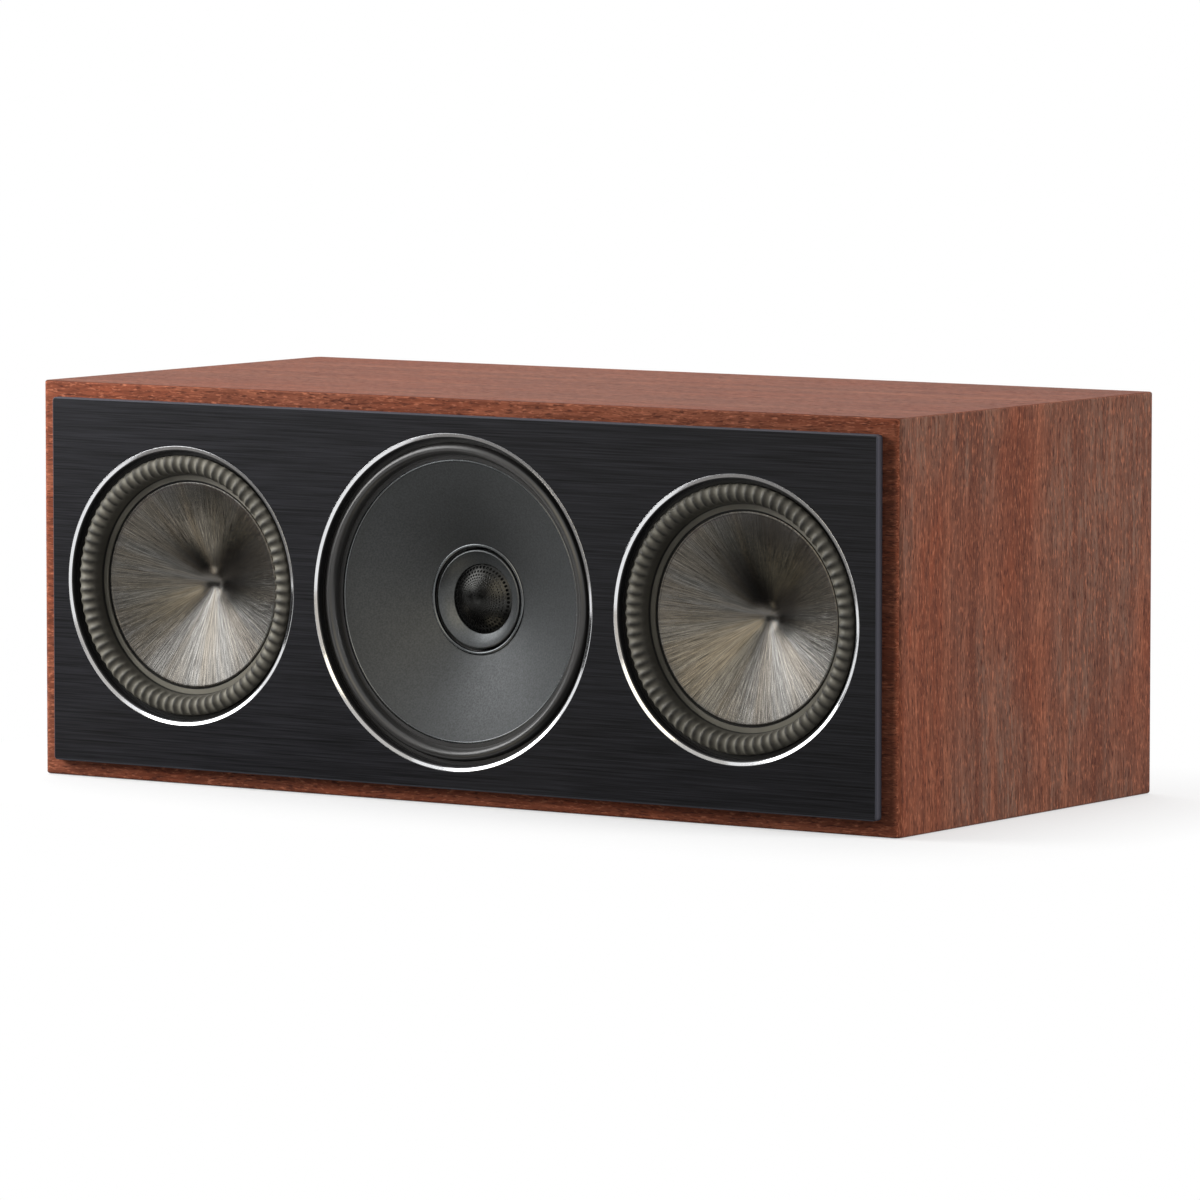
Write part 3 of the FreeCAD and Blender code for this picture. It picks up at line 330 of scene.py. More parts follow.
def piece(name, points, faces, finishes, body, node, slot, crease, **values):
    """Closed mesh that stands for a node: poles merged, faces outwards, smooth up to the crease angle.

    Values go with the points as attributes. A piece without a body is not attached to one."""
    mesh = bpy.data.meshes.new(name)
    mesh.vertices.add(len(points))
    mesh.vertices.foreach_set("co", points.astype(np.float32).ravel())
    mesh.loops.add(faces.size)
    mesh.loops.foreach_set("vertex_index", faces.astype(np.int32).ravel())
    mesh.polygons.add(len(faces))
    mesh.polygons.foreach_set("loop_start", np.arange(0, faces.size, 4, dtype=np.int32))
    mesh.update(calc_edges=True)
    for label, value in values.items():
        attribute = mesh.attributes.new(label, "FLOAT", "POINT")
        attribute.data.foreach_set("value", value.astype(np.float32).ravel())
    work = bmesh.new()
    work.from_mesh(mesh)
    bmesh.ops.remove_doubles(work, verts=work.verts, dist=MERGE_DISTANCE)
    bmesh.ops.recalc_face_normals(work, faces=work.faces)
    work.to_mesh(mesh)
    work.free()
    mesh.polygons.foreach_set("use_smooth", np.ones(len(mesh.polygons), bool))
    mesh.set_sharp_from_angle(angle=math.radians(crease))
    for finish in finishes:
        mesh.materials.append(finish)
    made = bpy.data.objects.new(name, mesh)
    bpy.context.scene.collection.objects.link(made)
    if body:
        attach(made, body)
    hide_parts(node)
    return made


def second_finish(made, centre, chosen):
    """Gives a second finish to faces chosen by distance from the axis, depth and turn to the front."""
    polygons = made.data.polygons
    places = np.zeros(3 * len(polygons), np.float32)
    normals = np.zeros_like(places)
    polygons.foreach_get("center", places)
    polygons.foreach_get("normal", normals)
    places = places.reshape(-1, 3)
    reach = np.hypot(places[:, 0] - centre.x, places[:, 2] - centre.z)
    facing = -normals.reshape(-1, 3)[:, 1]
    polygons.foreach_set("material_index", chosen(reach, places[:, 1] - FRONT, facing).astype(np.int32))


def dress(finish, *nodes):
    """Gives nodes of the frame a better finish."""
    for node in nodes:
        materials = NODES[node].data.materials
        if materials:
            materials[0] = finish
        else:
            materials.append(finish)


# Finishes


def linear(display):
    """Display colour as the linear colour that a shader takes."""
    c = np.asarray(display, float)
    return (*np.where(c <= 0.04045, c / 12.92, ((c + 0.055) / 1.055) ** 2.4), 1.0)


def tinted(display, factor):
    """A colour made darker or lighter by a factor."""
    return tuple(min(1.0, channel * factor) for channel in display)


class Nodes:
    """Adds nodes to a tree: each method makes them and gives back an output."""

    def __init__(self, tree):
        self.tree = tree

    def feed(self, socket, value):
        if isinstance(value, bpy.types.NodeSocket):
            self.tree.links.new(value, socket)
        else:
            socket.default_value = value

    def node(self, kind, inputs, **options):
        made = self.tree.nodes.new("ShaderNode" + kind)
        for label, value in options.items():
            setattr(made, label, value)
        for key, value in inputs.items():
            self.feed(made.inputs[key], value)
        return made.outputs

    def calc(self, operation, a, b):
        return self.node("Math", {0: a, 1: b}, operation=operation)[0]

    def times(self, a, b):
        return self.calc("MULTIPLY", a, b)

    def vector(self, operation, a, b=(0, 0, 0), output=0):
        return self.node("VectorMath", {0: a, 1: b}, operation=operation)[output]

    def remap(self, value, low, high, to_low=0.0, to_high=1.0):
        """Value moved from one span to another and held inside it."""
        return self.node("MapRange", {0: value, 1: low, 2: high, 3: to_low, 4: to_high})[0]

    def seen(self):
        """1 for rays from the camera, in reflections and through clear things, 0 for those that light."""
        rays = self.node("LightPath", {})
        others = self.calc("MAXIMUM", rays["Is Glossy Ray"], rays["Is Transmission Ray"])
        return self.calc("MAXIMUM", rays["Is Camera Ray"], others)


class Finish(Nodes):
    """One material on a principled shader, whose constants are set straight on its sockets."""

    def __init__(self, name, **constants):
        self.material = bpy.data.materials.new(name)
        self.material.use_nodes = True
        super().__init__(self.material.node_tree)
        self.shader = self.tree.nodes["Principled BSDF"]
        self.set(**constants)

    def set(self, **sockets):
        for label, value in sockets.items():
            self.feed(self.shader.inputs[label.replace("_", " ")], value)
        return self.material

    def glow(self, shade):
        return self.node("Emission", {"Color": shade, "Strength": 1.0})[0]

    def surface(self, shader):
        self.feed(self.tree.nodes["Material Output"].inputs["Surface"], shader)
        return self.material

    def place(self, scale=(1, 1, 1), centre=(0, 0, 0)):
        """Object coordinates moved to a centre, then scaled."""
        moved = self.vector("SUBTRACT", self.node("TexCoord", {})["Object"], centre)
        return self.node("Mapping", {"Vector": moved, "Scale": scale})[0]

    def past(self, low, high):
        """How far a point lies past each side of a box, negative inside it."""
        centre = (Vector(low) + Vector(high)) / 2
        half = (Vector(high) - Vector(low)) / 2
        return self.vector("SUBTRACT", self.vector("ABSOLUTE", self.place(centre=centre)), half)

    def polar(self, centre, turns, along):
        """Coordinates that follow a driver's radii: turns sets the fineness round it, along the radius."""
        flat = self.vector("MULTIPLY", self.place(centre=centre), (1, 0, 1))
        radius = self.vector("LENGTH", flat, output=1)
        around = self.vector("MULTIPLY", self.vector("NORMALIZE", flat), (turns, turns, turns))
        outwards = self.node("CombineXYZ", {1: self.times(radius, along)})[0]
        return self.vector("ADD", around, outwards), radius

    def noise(self, vector, scale=1.0, detail=3.0, roughness=0.55, distortion=0.0):
        return self.node("TexNoise", {"Vector": vector, "Scale": scale, "Detail": detail,
                                      "Roughness": roughness, "Distortion": distortion})[0]

    def wave(self, scale, direction, distortion=0.0):
        """Even ridges across one axis."""
        return self.node("TexWave", {"Vector": self.place(), "Scale": scale, "Distortion": distortion},
                         bands_direction=direction)[1]

    def mix(self, factor, a, b):
        return self.node("Mix", {0: factor, 6: a, 7: b}, data_type="RGBA")[2]

    def tones(self, factor, display, dark, light):
        """From a darker to a lighter tint of one colour."""
        return self.mix(factor, linear(tinted(display, dark)), linear(tinted(display, light)))

    def bump(self, height, distance, strength):
        return self.node("Bump", {"Height": height, "Distance": distance, "Strength": strength})[0]


def veneer_finish(name, along, tone=1.0, contrast=1.0, offset=0.0, dull=0.5, gloss=0.1, painted_sheen_lean=(0, 0, 0)):
    """Satin wood veneer: dull patches, bands, mottle, streaks, light flecks and pores along the grain. A lean
    pushes the dull grey patches towards one side of a board, a painted sheen.
    """
    look = bpy.context.scene.speaker_finish
    f = Finish(name, Specular_IOR_Level=gloss)
    start = f.place(centre=(offset, offset, offset))
    wander = f.node("TexNoise", {"Vector": start, "Scale": 9.0, "Detail": 2.0})[1]
    start = f.vector("ADD", start, f.vector("MULTIPLY", wander, (0.012, 0.012, 0.012)))

    def drawn(across, lengthwise, detail, roughness=0.55):
        scale = [lengthwise if axis == along else across for axis in range(3)]
        return f.noise(f.vector("MULTIPLY", start, scale), detail=detail, roughness=roughness)

    # Painted sheen: the lean tilts the patches' noise, so that grey gathers towards one side of the board
    painted_sheen_leaning = f.vector("DOT_PRODUCT", f.place(), painted_sheen_lean, output=1)
    patches = f.remap(f.calc("ADD", drawn(16.0, 6.0, 3.0, 0.6), painted_sheen_leaning), 0.4, 0.6)
    bands = f.remap(drawn(90.0, 3.0, 4.0, 0.6), 0.32, 0.68)
    streaks = f.remap(drawn(620.0, 26.0, 4.0, 0.65), 0.4, 0.68)
    mottle = f.remap(drawn(210.0, 45.0, 3.0, 0.65), 0.36, 0.66)
    pores = f.remap(drawn(1200.0, 190.0, 2.0), 0.54, 0.68)
    flecks = f.remap(drawn(1000.0, 230.0, 2.0), 0.54, 0.7)
    layers = ((f.times(patches, dull), look.veneer_grey, 1.0),
              (f.remap(bands, 0.55, 1.0, 0.0, 0.45 * contrast), look.veneer_light, 1.0),
              (f.remap(bands, 0.45, 0.0, 0.0, 0.45 * contrast), look.veneer_dark, 1.0),
              (f.times(mottle, 0.4 * contrast), look.veneer_dark, 1.0),
              (f.times(streaks, 0.5 * contrast), look.veneer_dark, 0.92),
              (f.times(flecks, 0.42 * contrast), look.veneer_light, 1.08),
              (f.times(pores, 0.5 * contrast), look.pore, 1.0))
    wood = linear(tinted(look.veneer, tone))
    for amount, display, factor in layers:
        wood = f.mix(amount, wood, linear(tinted(display, tone * factor)))
    height = f.calc("SUBTRACT", f.times(streaks, 0.4), pores)
    return f.set(Base_Color=wood, Roughness=f.remap(pores, 0, 1, 0.5, 0.65),
                 Normal=f.bump(height, 0.00008, 0.5))


def plate_finish():
    """Black plate with level brushing: streaks that are long in X and thin in Z, and a lighter band painted
    round its edges for a chamfer that the mesh lacks: bare machined metal and that chamfer's painted
    highlight.
    """
    look = bpy.context.scene.speaker_finish
    f = Finish("plate_brushed_black", Specular_IOR_Level=0.14)
    streak = f.noise(f.place((20.0, 60.0, 1500.0)), roughness=0.6)
    broad = f.noise(f.place((4.0, 10.0, 420.0)), detail=2.0)
    lines = f.remap(f.calc("ADD", streak, f.times(broad, 0.1)), 0.34, 0.76)
    past = f.node("SeparateXYZ", {0: f.past(*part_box("front_plate"))})
    # Painted highlight and bare metal: a band 0.6 to 0.9 mm in from the plate's edges is painted much
    # lighter, where a bright chamfer would catch the light
    bevel = f.remap(f.calc("MAXIMUM", past[0], past[2]), -0.0009, -0.0006)
    paint = f.mix(bevel, f.tones(lines, look.plate, 0.5, 1.6), linear(tinted(look.plate, 2.6)))
    return f.set(Base_Color=paint, Roughness=f.remap(lines, 0, 1, 0.4, 0.54),
                 Normal=f.bump(lines, 0.00002, 0.4))


def polished_finish():
    """Diamond-cut bevel: bright metal with a faint haze."""
    f = Finish("trim_polished", Metallic=1.0)
    haze = f.noise(f.place((900.0, 900.0, 900.0)), detail=2.0)
    return f.set(Base_Color=f.tones(haze, bpy.context.scene.speaker_finish.polish, 0.94, 1.0),
                 Roughness=f.remap(haze, 0.3, 0.7, 0.06, 0.12))


def moulded_finish(name, display, roughness, grain=1800.0, depth=0.00004):
    """Moulded plastic or paint: an even colour with a fine orange-peel grain."""
    f = Finish(name, Specular_IOR_Level=0.5)
    peel = f.noise(f.place(), grain)
    cloud = f.noise(f.place(), 35.0, 2.0)
    return f.set(Base_Color=f.tones(cloud, display, 0.88, 1.1), Normal=f.bump(peel, depth, 0.4),
                 Roughness=f.remap(peel, 0.3, 0.7, roughness - 0.06, roughness + 0.08))


def rubber_finish(name, display, roughness=0.5, grooves=None, gloss=0.4):
    """Rubber with a dusty bloom and a fine skin; where the piece's own groove value is high, painted shade
    darkens it.
    """
    f = Finish(name, Specular_IOR_Level=gloss)
    skin = f.noise(f.place(), 2600.0, 2.0)
    bloom = f.noise(f.place(), 40.0, 2.0)
    paint = f.tones(f.remap(bloom, 0.3, 0.7), display, 0.9, 1.08)
    if grooves:
        # Painted shade: the colour goes towards a dark tint of itself where the attribute is high
        sunk = f.node("Attribute", {}, attribute_name=grooves)["Fac"]
        paint = f.mix(f.remap(sunk, 0.0, 1.3), paint, linear(tinted(display, 0.16)))
    return f.set(Base_Color=paint, Normal=f.bump(skin, 0.00003, 0.35),
                 Roughness=f.remap(bloom, 0.3, 0.7, roughness - 0.02, roughness + 0.02))


def woofer_metal_finish(name, centre):
    """Metal cone with radial streaks: noise on the direction from the axis, so that streaks run outwards."""
    clean = bpy.context.scene.speaker_finish.woofer_metal
    f = Finish(name, Metallic=1.0)
    fine_place, radius = f.polar(centre, 170.0, 90.0)
    fine = f.noise(fine_place, roughness=0.65)
    hair = f.noise(f.polar(centre, 60.0, 45.0)[0], detail=4.0, roughness=0.7)
    broad = f.noise(f.polar(centre, 5.0, 9.0)[0])
    both = f.calc("ADD", f.times(fine, 0.6), f.times(hair, 0.4))
    lines = f.remap(both, 0.34, 0.58)
    warm = linear((clean[0] * 0.99, clean[1] * 0.96, clean[2] * 0.92))
    dark = linear((clean[0] * 0.36, clean[1] * 0.345, clean[2] * 0.33))
    metal = f.mix(lines, dark, f.mix(f.remap(broad, 0.4, 0.6), linear(clean), warm))
    height = f.times(both, f.times(radius, 20.0))
    return f.set(Base_Color=metal, Roughness=f.remap(lines, 0, 1, 0.28, 0.18),
                 Normal=f.bump(height, 0.00024, 0.75))


def mid_coat_finish(name, tone, roughness):
    """Satin metal with a fine even grain."""
    display = bpy.context.scene.speaker_finish.mid_metal
    f = Finish(name, Metallic=0.6, Specular_IOR_Level=0.2)
    grain = f.noise(f.place(), 1100.0)
    cloud = f.noise(f.place(), 40.0, 2.0)
    coat = f.mix(f.remap(grain, 0.35, 0.65, 0.0, 0.5), f.tones(cloud, display, 0.96 * tone, 1.04 * tone),
                 linear(tinted(display, 0.72 * tone)))
    return f.set(Base_Color=coat, Normal=f.bump(grain, 0.00004, 0.5),
                 Roughness=f.remap(grain, 0.3, 0.7, roughness - 0.05, roughness + 0.05))


def metal_finish(name, display, roughness):
    """Plain or plated metal with faint working marks."""
    f = Finish(name, Metallic=1.0)
    marks = f.noise(f.place((400.0, 30.0, 400.0)), detail=4.0, roughness=0.65)
    stain = f.noise(f.place(), 70.0)
    return f.set(Base_Color=f.tones(stain, display, 0.88, 1.04), Normal=f.bump(marks, 0.00002, 0.4),
                 Roughness=f.remap(marks, 0.3, 0.7, roughness - 0.07, roughness + 0.1))


def board_finish(name, display, fleck, scale):
    """Pressed or woven board: flecks of a second colour."""
    f = Finish(name, Roughness=0.75, Specular_IOR_Level=0.3)
    specks = f.remap(f.noise(f.place(), scale, 5.0, 0.7), 0.42, 0.62)
    return f.set(Base_Color=f.mix(specks, linear(display), linear(fleck)), Normal=f.bump(specks, 0.0001, 0.4))


def cloth_finish(name, display, scale):
    """Woven cloth: two crossed sets of ridges."""
    f = Finish(name, Roughness=0.85, Sheen_Weight=0.3)
    weave = f.calc("MAXIMUM", f.wave(scale, "X", 0.6), f.wave(scale, "Z", 0.6))
    return f.set(Base_Color=f.tones(weave, display, 0.6, 1.0), Normal=f.bump(weave, 0.0001, 0.6))


def wound_finish(name, display, direction="Y", fineness=700.0):
    """Wire laid in close turns, or the turns of a thread."""
    f = Finish(name, Metallic=1.0)
    turns = f.wave(fineness, direction)
    return f.set(Base_Color=f.tones(turns, display, 0.5, 1.0), Roughness=f.remap(turns, 0, 1, 0.4, 0.25),
                 Normal=f.bump(turns, 0.0001, 0.6))


def wadding_finish():
    """Loose white fibres."""
    f = Finish("wadding_fibres", Roughness=0.95, Sheen_Weight=0.4)
    fibres = f.noise(f.place((300.0, 300.0, 300.0)), detail=6.0, roughness=0.75, distortion=2.0)
    paint = f.mix(fibres, (0.55, 0.55, 0.53, 1), (0.9, 0.9, 0.88, 1))
    return f.set(Base_Color=paint, Normal=f.bump(fibres, 0.001, 0.8))


# Operators: one for each group of pieces


class SPEAKER_OT_cabinet(bpy.types.Operator):
    """Veneers the six boards, each along its own grain"""

    bl_idname = "speaker.cabinet"
    bl_label = "Cabinet"

    def execute(self, context):
        level, upright = 0, 2
        dress(veneer_finish("veneer_front", level, tone=1.42, contrast=1.6, offset=0.31, dull=0.25),
              "front_baffle")
        dress(veneer_finish("veneer_top", level, tone=1.08, contrast=1.3, dull=0.35, gloss=0.03), "top_panel")
        dress(veneer_finish("veneer_bottom", level, contrast=0.8, offset=0.67), "bottom_panel")
        dress(veneer_finish("veneer_back", level, tone=0.95, offset=0.83), "back_panel")
        dress(veneer_finish("veneer_left", upright, offset=1.21), "left_side_panel")
        # The right side's grey patches lean towards its top and back: painted sheen
        dress(veneer_finish("veneer_right", upright, tone=1.14, contrast=1.7, offset=0.47, dull=1.0,
                            gloss=0.08, painted_sheen_lean=(0, 0.9, 0.35)), "right_side_panel")
        return {"FINISHED"}


class SPEAKER_OT_front_plate(bpy.types.Operator):
    """Brushes the front plate and sets its three polished rings"""

    bl_idname = "speaker.front_plate"
    bl_label = "Front plate and rings"

    def execute(self, context):
        sizes = context.scene.speaker_drivers
        look = context.scene.speaker_finish
        dress(plate_finish(), "front_plate")
        finishes = [polished_finish(), moulded_finish("trim_black_wall", tinted(look.plate, 0.7), 0.5)]
        for node in ("left_trim_ring", "centre_trim_ring", "right_trim_ring"):
            self.ring(node, finishes, sizes)
        return {"FINISHED"}

    def ring(self, node, finishes, sizes):
        """Ring turned from a five-cornered outline; its bevel has one more point, where the polish ends."""
        outer = half_width(node)
        inner = outer - sizes.trim_width
        back = depths(node)[1]
        polish_end = outer - sizes.trim_cut
        cut_share = (sizes.trim_cut - sizes.trim_edge) / (sizes.trim_width - sizes.trim_edge)
        steps = 6
        bevel_start = 4 * steps
        outline = eased([(outer, 0), (outer, back), (inner, back), (inner, sizes.trim_bevel),
                         (outer - sizes.trim_edge, 0)], sizes.trim_round, steps)
        outline = np.insert(outline, bevel_start, [(polish_end, cut_share * sizes.trim_bevel)], axis=0)
        grid = outline_turned(outline, middle(node), sizes.columns)
        made = piece(node + "_cut", *shell(grid), finishes, CABINET, node, "trim", crease=25.0)
        second_finish(made, middle(node),
                      lambda reach, depth, facing: (facing <= 0.5) | (reach <= polish_end))


def surround_outline(driver, crest_inset, lip, rib):
    """Outline of a surround: its front from the land over the roll to the lip, then its back.

    Gives back both, the radii of outer foot, crest and inner foot, and the depths of land and lip."""
    sizes = bpy.context.scene.speaker_drivers
    steps = 15
    cone = driver + "_cone"
    outer = half_width(driver + "_surround")
    crest_depth = depths(driver + "_surround")[0]
    foot = half_width(cone)
    land = outer - sizes.land
    under = sizes.rubber
    land_depth = depths(driver + "_basket")[0] + sizes.land_step - under
    lip_depth = depths(cone)[0] - under
    crest = land - crest_inset
    roll = arch((land, land_depth), (crest, crest_depth), (foot, lip_depth), steps)
    front = np.concatenate([np.linspace((outer, land_depth), (land, land_depth), 3)[:-1], roll,
                            np.linspace((foot, lip_depth), (foot - lip, lip_depth), 6)[1:]])
    back_roll = arch((land - under, land_depth + under), (crest, crest_depth + rib + under),
                     (foot + under, lip_depth + under), steps // 2)
    back = np.concatenate([[(foot - lip, lip_depth + under)], back_roll[::-1], [(outer, land_depth + under)]])
    return front, back, (land, crest, foot), (land_depth, lip_depth)


def flexing(made, driver, land_depth, lip_depth):
    """Bakes a surround's place into its mesh."""
    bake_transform(made)


class SPEAKER_OT_woofers(bpy.types.Operator):
    """Makes the ribbed surrounds and streaked cones of the two woofers"""

    bl_idname = "speaker.woofers"
    bl_label = "Woofers"

    # Points from one rib to the next, and the sharpness of the grooves between them
    rib_points = 10
    groove_power = 1.3
    # Where grooves are full on the roll's outer quarter, and where their fading starts and ends on its inner
    # one, and how sharply they fade
    groove_full = 0.2
    fade_start = 0.5
    fade_end = 0.95
    fade_power = 1.5
    # Painted shade: how dark the grooves, the seams and the roll's inner foot are painted, and where the
    # foot's painted shade begins and is darkest
    groove_shade = 1.2
    seam_shade = 1.3
    foot_shade = 0.85
    foot_shade_start = 0.45
    foot_shade_end = 0.8

    def execute(self, context):
        sizes = context.scene.speaker_drivers
        look = context.scene.speaker_finish
        skin = rubber_finish("woofer_surround_rubber", look.rubber, 0.55, "groove")
        # Near-black finish for the seam in each woofer cone: painted shade of that crevice
        seam_shade_black = moulded_finish("cone_seam_adhesive", (0.05, 0.05, 0.05), 0.6)
        for driver in ("left_woofer", "right_woofer"):
            self.surround(driver, skin, sizes)
            self.cone(driver, seam_shade_black, sizes)
        return {"FINISHED"}

    def surround(self, driver, skin, sizes):
        """Roll with ribs: the front is sunk along its normal by a groove wave, a power of a cosine."""
        front, back, roll, ends = surround_outline(driver, sizes.woofer_crest, sizes.woofer_lip,
                                                   sizes.rib_depth)
        land, crest, foot = roll
        columns = self.rib_points * sizes.rib_count
        angle = round_angles(columns)
        groove = ((1 + np.cos(sizes.rib_count * angle)) / 2) ** self.groove_power
        tangent = np.gradient(front, axis=0)
        normal = np.stack([tangent[:, 1], -tangent[:, 0]], axis=1)
        normal /= np.linalg.norm(normal, axis=1, keepdims=True)
        across = front[:, 0]
        out_share = ramp(across, land, crest)
        in_share = ramp(across, crest, foot)
        weight = ramp(out_share, 0, self.groove_full) * (1 + out_share) / 2
        weight = weight * (1 - ramp(in_share, self.fade_start, self.fade_end) ** self.fade_power)
        sunk = (sizes.rib_depth * weight)[:, None] * groove
        behind = np.broadcast_to(back[:, None], (len(back), columns, 2))
        radius = np.concatenate([front[:, :1] - normal[:, :1] * sunk, behind[:, :, 0]])
        depth = np.concatenate([front[:, 1:] - normal[:, 1:] * sunk, behind[:, :, 1]])
        grid = turned(radius, depth, middle(driver + "_cone"), columns)
        # Painted shade: the roll's inner foot, the land under the ring, the seam at the lip and the grooves
        # are darkened where shade falls in these hollows
        dark = np.where(across > foot, self.foot_shade * ramp(in_share, self.foot_shade_start, self.foot_shade_end), 0)
        dark = np.where(across > land - 4 * FIT, self.seam_shade, dark)
        dark = np.where(np.abs(across - foot) < FIT, self.seam_shade, dark)
        value = np.concatenate([np.maximum(self.groove_shade * weight[:, None] * groove, dark[:, None]),
                                np.zeros((len(back), columns))])
        made = piece(driver + "_ribbed_surround", *shell(grid), [skin], None, driver + "_surround",
                     "woofer_rubber", crease=50.0, groove=value)
        flexing(made, driver, *ends)

    def cone(self, driver, seam_shade_black, sizes):
        """Dish turned from its rim over a dark seam and a rounded bead to its middle, with a neck behind."""
        node = driver + "_cone"
        rim = half_width(node)
        seat, neck_back = depths(node)
        seam_out = rim - sizes.woofer_lip - FIT
        seam_in = seam_out - sizes.seam_width
        seam_floor = seat + sizes.seam_depth
        edge = seam_in - sizes.bead_width
        seam = [(seam_out, seat), (seam_out - FIT, seam_floor), (seam_in + FIT, seam_floor), (seam_in, seat)]
        bead = rounded_bead(seam_in, edge, seat, sizes.bead_rise, steps=9)
        front = dish_front((0, sizes.woofer_apex), (edge, seat), sizes.woofer_bow, sizes.woofer_round,
                           steps=64)
        behind = front + (0, sizes.cone_wall)
        neck_row = np.argmin(np.abs(front[:, 0] - half_width(driver + "_voice_coil")))
        outside = behind[:neck_row]
        inside = behind[neck_row + 2:]
        tube = [(inside[0, 0], neck_back), (outside[-1, 0], neck_back)]
        outline = np.concatenate([[(rim, seat)], seam, bead, front, inside[::-1], tube, outside[::-1],
                                  [(rim, seat + sizes.cone_wall)]])
        centre = middle(node)
        grid = outline_turned(outline, centre, sizes.columns)
        finishes = [woofer_metal_finish(driver + "_streaked_metal", centre), seam_shade_black]
        made = piece(driver + "_dish", *shell(grid), finishes, driver + "_diaphragm", node, "woofer_cone",
                     crease=40.0)
        # The seam's faces take the near-black finish, painted shade in the crevice
        second_finish(made, centre,
                      lambda reach, depth, facing: (reach > seam_in) & (depth < seam_floor + FIT))


class SPEAKER_OT_midrange(bpy.types.Operator):
    """Makes the smooth surround and satin cone of the midrange"""

    bl_idname = "speaker.midrange"
    bl_label = "Midrange"

    # Height of the collar's bead as a share of its width
    collar_rise = 0.35

    def execute(self, context):
        sizes = context.scene.speaker_drivers
        look = context.scene.speaker_finish
        front, back, _, ends = surround_outline("midrange", sizes.mid_crest, sizes.mid_lip, 0.0)
        grid = outline_turned(np.concatenate([front, back]), middle("midrange_cone"), sizes.columns)
        skin = rubber_finish("midrange_surround_rubber", look.mid_rubber, 0.3, gloss=0.8)
        made = piece("midrange_roll", *shell(grid), [skin], None, "midrange_surround", "mid_rubber",
                     crease=50.0)
        flexing(made, "midrange", *ends)
        self.cone("midrange_cone", sizes, look)
        return {"FINISHED"}

    def cone(self, node, sizes, look):
        """Annular dish turned from its rim over a thin bead to a rounded collar, with a neck behind."""
        rim = half_width(node)
        seat, neck_back = depths(node)
        inner = sizes.collar_radius
        collar = inner + sizes.collar_width
        collar_front = sizes.collar_depth
        collar_back = collar_front + sizes.cone_wall
        bead_out = rim - sizes.mid_lip - FIT
        edge = bead_out - sizes.mid_bead_width
        bead = rounded_bead(bead_out, edge, seat, sizes.mid_bead_rise)
        front = dish_front((collar, collar_front), (edge, seat), sizes.mid_bow, rounding=0.0, steps=56)
        top = rounded_bead(collar, inner, collar_front, self.collar_rise * sizes.collar_width)
        behind = front + (0, sizes.cone_wall)
        neck_in = inner + sizes.collar_step
        neck_out = neck_in + sizes.cone_wall
        neck = [(inner, collar_front), (inner, collar_back), (neck_in, collar_back), (neck_in, neck_back),
                (neck_out, neck_back), (neck_out, collar_back)]
        outline = np.concatenate([[(rim, seat), (bead_out, seat)], bead, front, top, neck, behind[::-1],
                                  [(rim, seat + sizes.cone_wall)]])
        centre = middle(node)
        grid = outline_turned(outline, centre, sizes.columns)
        finishes = [mid_coat_finish("midrange_satin", 1.0, 0.48),
                    metal_finish("midrange_bright_edge", tinted(look.mid_metal, 1.3), 0.2)]
        made = piece("midrange_dish", *shell(grid), finishes, "midrange_diaphragm", node, "mid_cone",
                     crease=40.0)
        second_finish(made, centre, lambda reach, depth, facing: (reach > edge) | (reach < collar))


